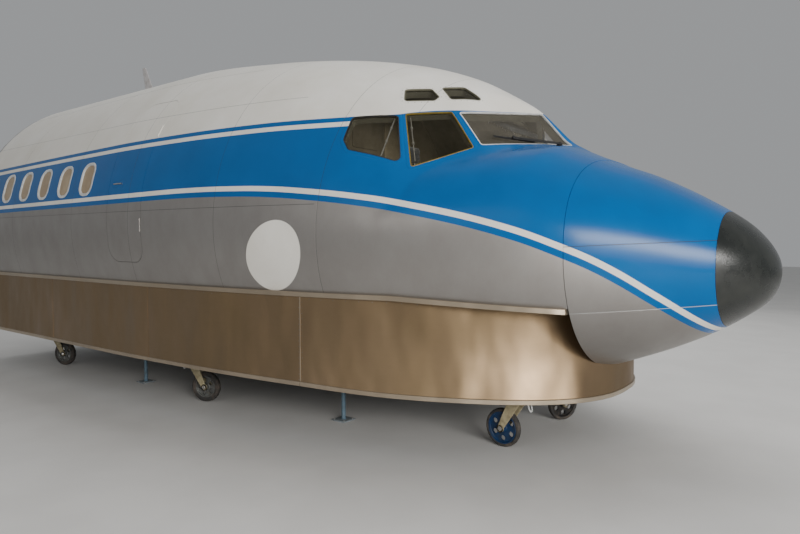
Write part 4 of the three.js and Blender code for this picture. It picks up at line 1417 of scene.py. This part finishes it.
# Cockpit: rear wall, ceiling panel, dials, levers, wheels and seats
def cockpit_wall():
    stations = (COCKPIT_END - .045, COCKPIT_END - .022)
    wall = hull_solid(stations, LINING_SIDES, skin_radius, WALL - .012)
    place("cockpit_rear_wall", smooth(boolean(wall, below_cut(.001))), "wall_cream")
    face = NOSE_X - COCKPIT_END + .045
    door = [bar("door_grey", (face - .002, -.310, FLOOR_Z + .02), (face + .020, .310, 3.16), .012)]
    for low, high in (((-.345, FLOOR_Z), (-.315, 3.20)), ((.315, FLOOR_Z), (.345, 3.20)),
                      ((-.345, 3.165), (.345, 3.20))):
        door.append(bar("wall_cream", (face - .002, *low), (face + .032, *high), .006))
    for z in (1.48, 2.62):
        door.append(bar("door_grey", (face + .016, -.22, z), (face + .028, .22, z + .42), .009))
    knob = ((0, 0), (.012, 0), (.012, .030), (.028, .034), (.030, .052), (.020, .062), (0, .062))
    door.append(lathe("bright_steel", knob, (face + .018, .235, 2.33), X_AXIS, 24))
    place("cockpit_door", joined(door), None)


def cabinets():
    back, front = NOSE_X - COCKPIT_END + .047, NOSE_X - 3.34
    for side, sign in SIDES.items():
        parts = [bar("wall_cream", (back, .52 * sign, FLOOR_Z + .001), (front, 1.20 * sign, 2.36),
                     .012)]
        for z in (1.37, 1.70, 2.03):
            pull = [(front + out, y * sign, z + .15)
                    for out, y in ((.008, .78), (.026, .79), (.026, .93), (.008, .94))]
            parts += [bar("door_grey", (front - .004, .56 * sign, z),
                          (front + .010, 1.16 * sign, z + .29), .006),
                      tube("bright_steel", pull, .005, 8)]
        place(f"cockpit_rack_{side}", joined(parts), None)


def ceiling_panel():
    ends = (s0, z0), (s1, z1) = (1.98, 2.62), (2.62, 2.96)
    outline = [(NOSE_X - s, z) for s, z in ends]
    outline += [(NOSE_X - s, z - .045) for s, z in reversed(ends)]
    slope = Vector((s0 - s1, 0, z1 - z0)).normalized()
    down = Vector((slope.z, 0, -slope.x))
    down = down if down.z < 0 else -down
    switch = ((0, 0), (.007, 0), (.007, .006), (.003, .008), (.0045, .024), (0, .024))
    corner = Vector((NOSE_X - s0, -.20, z0)) + down * .041
    parts = [plate("panel_paint", outline, -.27, .27, .008)]
    parts += [lathe("bright_steel", switch, corner + slope * (.07 + .095 * k) + Vector(Y_AXIS) * .10 * j,
                    down, 10) for k in range(7) for j in range(5)]
    place("ceiling_panel", joined(parts), None)


PANEL_TOP, PANEL_FOOT = (1.960, 2.270), (2.000, 1.330)  # aft face of the instrument panel
NEEDLE_TURN = 1.9  # angle from one needle to the next


def dials():
    """Round instruments with bezels, faces, marks and needles on the panel's aft face."""
    (s0, z0), (s1, z1) = PANEL_TOP, PANEL_FOOT
    normal = Vector((z1 - z0, 0, s0 - s1)).normalized()
    up = Vector((s1 - s0, 0, z0 - z1)).normalized()
    across = up.cross(normal)
    places = [(sign * .53 + dy, z, .045) for sign in (-1, 1) for dy in (-.115, 0, .115)
              for z in (2.165, 2.045)]
    places += [(y, z, .030) for y in (-.145, -.072, 0, .072, .145) for z in (2.19, 2.11, 2.03, 1.95)]
    parts = []
    for number, (y, z, r) in enumerate(places, 1):
        at = Vector((NOSE_X - s0 - (z0 - z) / (z0 - z1) * (s1 - s0), y, z))
        bezel = ((r * .84, -.003), (r * 1.12, -.003), (r * 1.12, .004), (r, .008), (r * .88, .008),
                 (r * .84, .002), (r * .84, -.003))
        parts += [lathe("dark_steel", bezel, at, normal, 24),
                  drum("panel_black", r * .86, -.003, .0015, at, normal, 24)]
        lines = [(k * math.pi / 6, .002, .62, .78, .0011) for k in range(12)]
        needle = (NEEDLE_TURN * number, .003, -.2, .66, .0014)
        for a, lift, start, end, half in (*lines, needle):
            out = up * math.cos(a) + across * math.sin(a)
            base = at + normal * lift
            parts.append(tube("dial_white", [base + out * r * start, base + out * r * end], half, 4))
    place("panel_dials", joined(parts), None)
    roll = [(NOSE_X - 2.130, y, 2.285) for y in np.linspace(-.80, .80, 9)]
    place("glareshield_roll", tube(None, roll, .017, 16), "panel_black")


def pedestal_controls():
    top = 1.880
    parts = []
    grip = ((0, -.020), (.013, -.018), (.016, 0), (.013, .018), (0, .020))
    for k, y in enumerate((-.075, -.025, .025, .075)):
        x = NOSE_X - 2.34 + (.01 if k % 2 else 0)
        parts += [block("dark_steel", (x - .010, y - .005, top - .01),
                        (x + .010, y + .005, top + .10), .003, .001),
                  lathe("dial_white", grip, (x, y, top + .105), Y_AXIS, 16)]
    trim = ((.100, 0), (.108, -.002), (.118, 0), (.120, .006), (.118, .012), (.108, .014),
            (.100, .012), (.100, 0))
    for sign in (-1, 1):
        at, out = (NOSE_X - 2.36, sign * .197, top - .06), (0, sign, 0)
        parts += [lathe("panel_black", trim, at, out, 40),
                  drum("dark_steel", .101, .003, .008, at, out, 40)]
    knob = ((0, 0), (.013, 0), (.012, .014), (.008, .017), (0, .017))
    for k in range(4):
        x = NOSE_X - 2.52 - k * .095
        parts.append(bar("panel_black", (x - .042, -.150, top - .004), (x + .042, .150, top + .006)))
        parts += [lathe("dial_white" if k % 2 else "bright_steel", knob, (x, y, top + .005), Z_AXIS, 16)
                  for y in (-.11, -.05, .05, .11)]
    place("pedestal_controls", joined(parts), None)


SEAT_Y = .530
SEAT_STATION = 2.600
YOKE_STATION = 2.230


def control_wheel():
    boot = [(r, FLOOR_Z + up) for r, up in (
        (0, .001), (.085, .001), (.085, .012), (.055, .030), (.062, .048), (.045, .062),
        (.050, .078), (.028, .092), (0, .092))]
    column_path = [(0, 0, FLOOR_Z + .06), (0, 0, 1.95), (-.006, 0, 1.99), (-.03, 0, 2.015)]
    parts = [lathe(None, boot, sides=28), tube(None, column_path, .024, 20),
             block(None, (-.100, -.040, 1.985), (-.008, .040, 2.052), .012, .003)]
    for side in SIDES:
        horn = ((-.095, 0, 2.018), (-.108, .055, 2.016), (-.110, .105, 2.016),
                (-.110, .142, 2.024), (-.110, .157, 2.046), (-.110, .158, 2.075))
        grip = [(-.110, .158, z) for z in (2.060, 2.066, 2.134, 2.146)]
        parts += [tube(None, to_side(horn, side), .0115, 12),
                  tube(None, to_side(grip, side), .0150, 14)]
    return joined(parts)


PAD_VOXEL = .013
PAD_TRAVEL = .010
PAD_PRESSURE, PAD_STIFFNESS, PAD_FRAMES = 4.0, 15, 20
WELT_RADIUS = .0042
SEAM_DEPTH, SEAM_WIDTH = .006, .010
SEAT_PADS = {
    "cushion": {"low": (-.222, -.238, 1.640), "high": (.248, .238, 1.760), "round": .030, "axis": 2,
                "seams": ((1, -.115, (0, 0, 1)), (1, .115, (0, 0, 1)), (0, .110, (0, 0, 1)))},
    "back": {"low": (-.284, -.228, 1.700), "high": (-.196, .228, 2.335), "round": .026, "axis": 0,
             "seams": ((1, -.115, (1, 0, 0)), (1, .115, (1, 0, 0)), (2, 1.93, (1, 0, 0)),
                       (2, 2.16, (1, 0, 0)))},
    "headrest": {"low": (-.288, -.128, 2.348), "high": (-.212, .128, 2.498), "round": .024, "axis": 0,
                 "seams": ((2, 2.423, (1, 0, 0)),)},
}


def of_vertices(obj, what="co"):
    """Coordinates or normals of every vertex."""
    values = np.empty(len(obj.data.vertices) * 3)
    obj.data.vertices.foreach_get(what, values)
    return values.reshape(-1, 3)


def pad_form(pad):
    """An upholstered block: a rounded box swollen by cloth pressure, with a cap on its travel."""
    inset = PAD_TRAVEL * .7
    obj = bar(None, np.array(pad["low"]) + inset, np.array(pad["high"]) - inset, pad["round"])
    modifier = obj.modifiers.new("remesh", "REMESH")
    modifier.mode, modifier.voxel_size = "VOXEL", PAD_VOXEL
    applied(obj)
    start = of_vertices(obj)
    settings = obj.modifiers.new("cloth", "CLOTH").settings
    settings.use_pressure, settings.uniform_pressure_force = True, PAD_PRESSURE
    settings.effector_weights.gravity = 0
    settings.tension_stiffness = settings.compression_stiffness = PAD_STIFFNESS
    scene = bpy.context.scene
    for step in range(1, PAD_FRAMES + 1):
        scene.frame_set(step)
    applied(obj)
    scene.frame_set(1)
    move = of_vertices(obj) - start
    far = np.linalg.norm(move, axis=1, keepdims=True)
    move *= np.minimum(1, PAD_TRAVEL / np.maximum(far, 1e-9))
    obj.data.vertices.foreach_set("co", (start + move).ravel())
    subdivide = obj.modifiers.new("subdivide", "SUBSURF")
    subdivide.levels = subdivide.render_levels = 1
    return smooth(applied(obj), 180)


def sewn(obj, lines):
    """Presses sewn channels, each a (axis, place, face) line, into a pad."""
    points, normals = of_vertices(obj), of_vertices(obj, "normal")
    press = np.zeros(len(points))
    for axis, at, face in lines:
        facing = np.clip(normals @ np.array(face), 0, 1)
        press = np.maximum(press, facing * np.exp(-((points[:, axis] - at) / SEAM_WIDTH) ** 2))
    pressed = points - normals * (press * SEAM_DEPTH)[:, None]
    obj.data.vertices.foreach_set("co", pressed.ravel())


def welt(obj, axis):
    """Piping round the rim of a pad: the outermost loop seen along an axis."""
    points = of_vertices(obj)
    tree = BVHTree.FromPolygons([Vector(p) for p in points],
                                [list(p.vertices) for p in obj.data.polygons])
    middle = (points.min(0) + points.max(0)) / 2
    u, v = np.delete(np.eye(3), axis, 0)
    rings = []
    for a in full_turn(72):
        out = u * math.cos(a) + v * math.sin(a)
        point = np.array(tree.ray_cast(Vector(middle + out * 2), Vector(-out))[0])
        out = (point - middle) / np.linalg.norm(point - middle)
        rings.append(point + WELT_RADIUS * circle(out, np.eye(3)[axis], 8))
    return skin_of(rings, 30, True)


def seat_hardware():
    parts = [bar("seat_frame", (-.215, y - .016, FLOOR_Z + .0005), (.215, y + .016, FLOOR_Z + .020),
                 .004) for y in (-.130, .130)]
    parts += [block("seat_frame", (-.115, -.120, FLOOR_Z + .018), (.115, .120, 1.612), .02, .004),
              block("seat_frame", (-.220, -.232, 1.606), (.238, .232, 1.640), .008, .002),
              block("seat_frame", (-.298, -.215, 1.700), (-.280, .215, 2.300), .008, .002)]
    parts += [tube("seat_frame", [(-.235, y, 1.622), (-.262, y, 1.66), (-.288, y, 1.76)], .011)
              for y in (-.205, .205)]
    parts += [tube("bright_steel", [(-.252, y, 2.315), (-.252, y, 2.40)], .007, 12)
              for y in (-.06, .06)]
    for sign in (-1, 1):
        parts += [block("column_paint", (-.200, sign * .238 - .020, 1.915),
                        (.120, sign * .238 + .020, 1.952), .014, .003),
                  tube("column_paint", [(-.285, sign * .222, 1.905), (-.23, sign * .232, 1.912),
                                        (-.12, sign * .238, 1.918)], .010)]
    return joined(parts)


SHOULDER_STRAP = ((-.300, .095, 2.20), (-.300, .095, 2.352), (-.245, .092, 2.350),
                  (-.1925, .088, 2.300), (-.1895, .080, 2.05), (-.190, .060, 1.86),
                  (-.155, .045, 1.790), (-.02, .030, 1.7665))
LAP_STRAP = ((-.17, .235, 1.70), (-.15, .215, 1.757), (-.05, .12, 1.7665), (-.005, .03, 1.7675))
WEB_HALF, WEB_LIFT = .022, .001


def belts():
    """Flat webbing: two shoulder straps and a lap strap with its buckle."""
    buckle = ((0, 0), (.030, 0), (.032, .003), (.030, .010), (.012, .012), (0, .012))
    webbing = [web(to_side(path, side)) for side in ("right", "left")
               for path in (SHOULDER_STRAP, LAP_STRAP)]
    return joined([*webbing, lathe("bright_steel", buckle, (-.005, 0, 1.766), Z_AXIS, 24)])


def web(path):
    """A flat strap along a path, its width across the path and level."""
    fine = [path[0]]
    for a, b in zip(path[:-1], path[1:]):
        fine += [a + (b - a) * k / 5 for k in range(1, 6)]
    fine = np.array(fine)
    for _ in range(2):
        fine[1:-1] = (fine[:-2] + 2 * fine[1:-1] + fine[2:]) / 4
    ahead = np.gradient(fine, axis=0)
    ahead /= np.linalg.norm(ahead, axis=1, keepdims=True)
    side = Y_AXIS - ahead * ahead[:, 1:2]
    length = np.linalg.norm(side, axis=1, keepdims=True)
    side = np.where(length > .3, side / np.maximum(length, 1e-9), X_AXIS)
    across, up = side * WEB_HALF, np.cross(side, ahead) * WEB_LIFT
    rings = np.stack([fine + across + up, fine - across + up, fine - across - up,
                      fine + across - up], 1)
    return dressed(solid(rings, 40), "belt_web")


def seats():
    pieces = {"hardware": seat_hardware(), "belts": belts()}
    for name, pad in SEAT_PADS.items():
        form = pad_form(pad)
        sewn(form, pad["seams"])
        rim = welt(form, pad["axis"])
        pieces[name] = dressed(form, "seat_cloth")
        pieces[f"{name}_piping"] = dressed(rim, "seat_piping")
    for side, sign in SIDES.items():
        move = standing(SEAT_STATION, sign * SEAT_Y)
        for name, source in pieces.items():
            piece = place(f"seat_{name}_{side}", copy_of(source, move), None,
                          replaces=[f"pilot_seat_{side}"] if name == "hardware" else ())
    for source in pieces.values():
        bpy.data.objects.remove(source)


def window_rods():
    """Curtain rail and latch rod behind the side windows."""
    parts = []
    clip = ((0, -.012), (.011, -.010), (.011, .010), (0, .012))
    for name, ends, r in (("side_window_3", ((-.184, .215), (-.110, -.176)), .006),
                          ("side_window_2", ((.195, .210), (.160, -.233)), .005)):
        axes, _ = window_plane(name)
        ends = on_plane(axes, ends) - .040 * axes["normal"]
        for side in SIDES:
            start, end = to_side(ends, side)
            parts.append(tube(None, (start, end), r))
            parts += [lathe(None, clip, start + (end - start) * share, end - start, 12)
                      for share in (.25, .6)]
    place("window_rods", joined(parts), "rod_grey")


cockpit_wall()
cabinets()
ceiling_panel()
dials()
pedestal_controls()
window_rods()
for side, sign in SIDES.items():
    wheel = control_wheel()
    wheel.data.transform(standing(YOKE_STATION, sign * SEAT_Y))
    place(f"control_column_{side}_piece", wheel, "column_paint",
          replaces=[f"control_column_{side}"])
seats()


# Doors: flush handles and hinge covers
def door_fittings():
    cup = rounded([(-.095, -.035), (.095, -.035), (.095, .035), (-.095, .035)], 0, .033)
    lifts = ((.06, .0018), (.05, .0036), (0, .0036), (-.03, .0024), (-.10, .0022))
    for name, door in DOORS.items():
        side = door["side"]
        axes = skin_axes(door["to"] - .16, DOOR_SILL + .78)
        rim = skin_of([to_side(drape(axes, cup * (1 + grow), lift), side) for grow, lift in lifts])
        grip = [axes["middle"] + axes["normal"] * lift + axes["along"] * a
                for a, lift in ((-.072, .006), (-.060, .010), (.060, .010), (.072, .006))]
        parts = [dressed(rim, "livery"), tube("bright_steel", to_side(grip, side), .0065)]
        for share in (.22, .78):
            hinge = skin_axes(door["from"] + .015, DOOR_SILL + door["height"] * share)
            ends = [hinge["middle"] + hinge["normal"] * .002 + hinge["up"] * u for u in (-.065, .065)]
            parts.append(tube("livery", to_side(ends, side), .0075))
        place(f"{name}_fittings", joined(parts), None)


door_fittings()

# CAD nodes that stay, by the start of their names, with their finish
KEPT = {"cockpit_floor": "floor_mat", "rear_bulkhead": "bulkhead_metal",
        "instrument_panel": "panel_paint", "centre_pedestal": "panel_paint",
        "cradle_rail_": "cradle_paint", "saddle_": "cradle_paint"}
for name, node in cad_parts.items():
    if not node.hide_render:
        finish = next(m for prefix, m in KEPT.items() if name.startswith(prefix))
        for slot in node.material_slots:
            slot.material = FINISH[finish]


# Stage: pale floor, soft light
def stage():
    floor = mesh_object([(-40, -40, 0), (40, -40, 0), (40, 40, 0), (-40, 40, 0)], [(0, 1, 2, 3)])
    floor.name = "floor"
    pale, shade = (.62, .61, .59), (.59, .58, .56)
    g = Graph("floor", pale, 0.6)
    g.set("Base Color", g.mix(g.span(g.noise(1.5, 3.0), .4, .6, 0, 1), pale, shade))
    dressed(floor, "floor")
    world = bpy.data.worlds.new("studio")
    bpy.context.scene.world = world
    world.use_nodes = True
    background = world.node_tree.nodes["Background"]
    background.inputs["Color"].default_value = (.80, .82, .84, 1)
    background.inputs["Strength"].default_value = 0.42


def area_light(name, at, target, size, power, color=(1, 1, 1)):
    data = bpy.data.lights.new(name, "AREA")
    data.shape, data.size, data.size_y = "RECTANGLE", *size
    data.energy, data.color = power, color
    lamp = link(bpy.data.objects.new(name, data))
    lamp.location = at
    lamp.rotation_mode = "QUATERNION"
    lamp.rotation_quaternion = (Vector(target) - Vector(at)).to_track_quat("-Z", "Y")
    return lamp


stage()
area_light("key", (12, -6, 3.4), (3, 0, 1.9), (7, 2.2), 1250, (1, .98, .95))
area_light("fill", (3, -14, 7), (1, 0, 1.5), (12, 6), 240, (1, .97, .93))
area_light("overhead", (1, 3, 11), (1, 0, 2.5), (14, 6), 850).visible_glossy = False
area_light("back", (-2, 10, 5), (0, 0, 2), (8, 4), 250).visible_glossy = False
area_light("cabin", (NOSE_X - 3.1, 0, 3.02), (NOSE_X - 3.0, 0, 2), (.5, .5), 8,
           (1, .93, .8)).visible_glossy = False
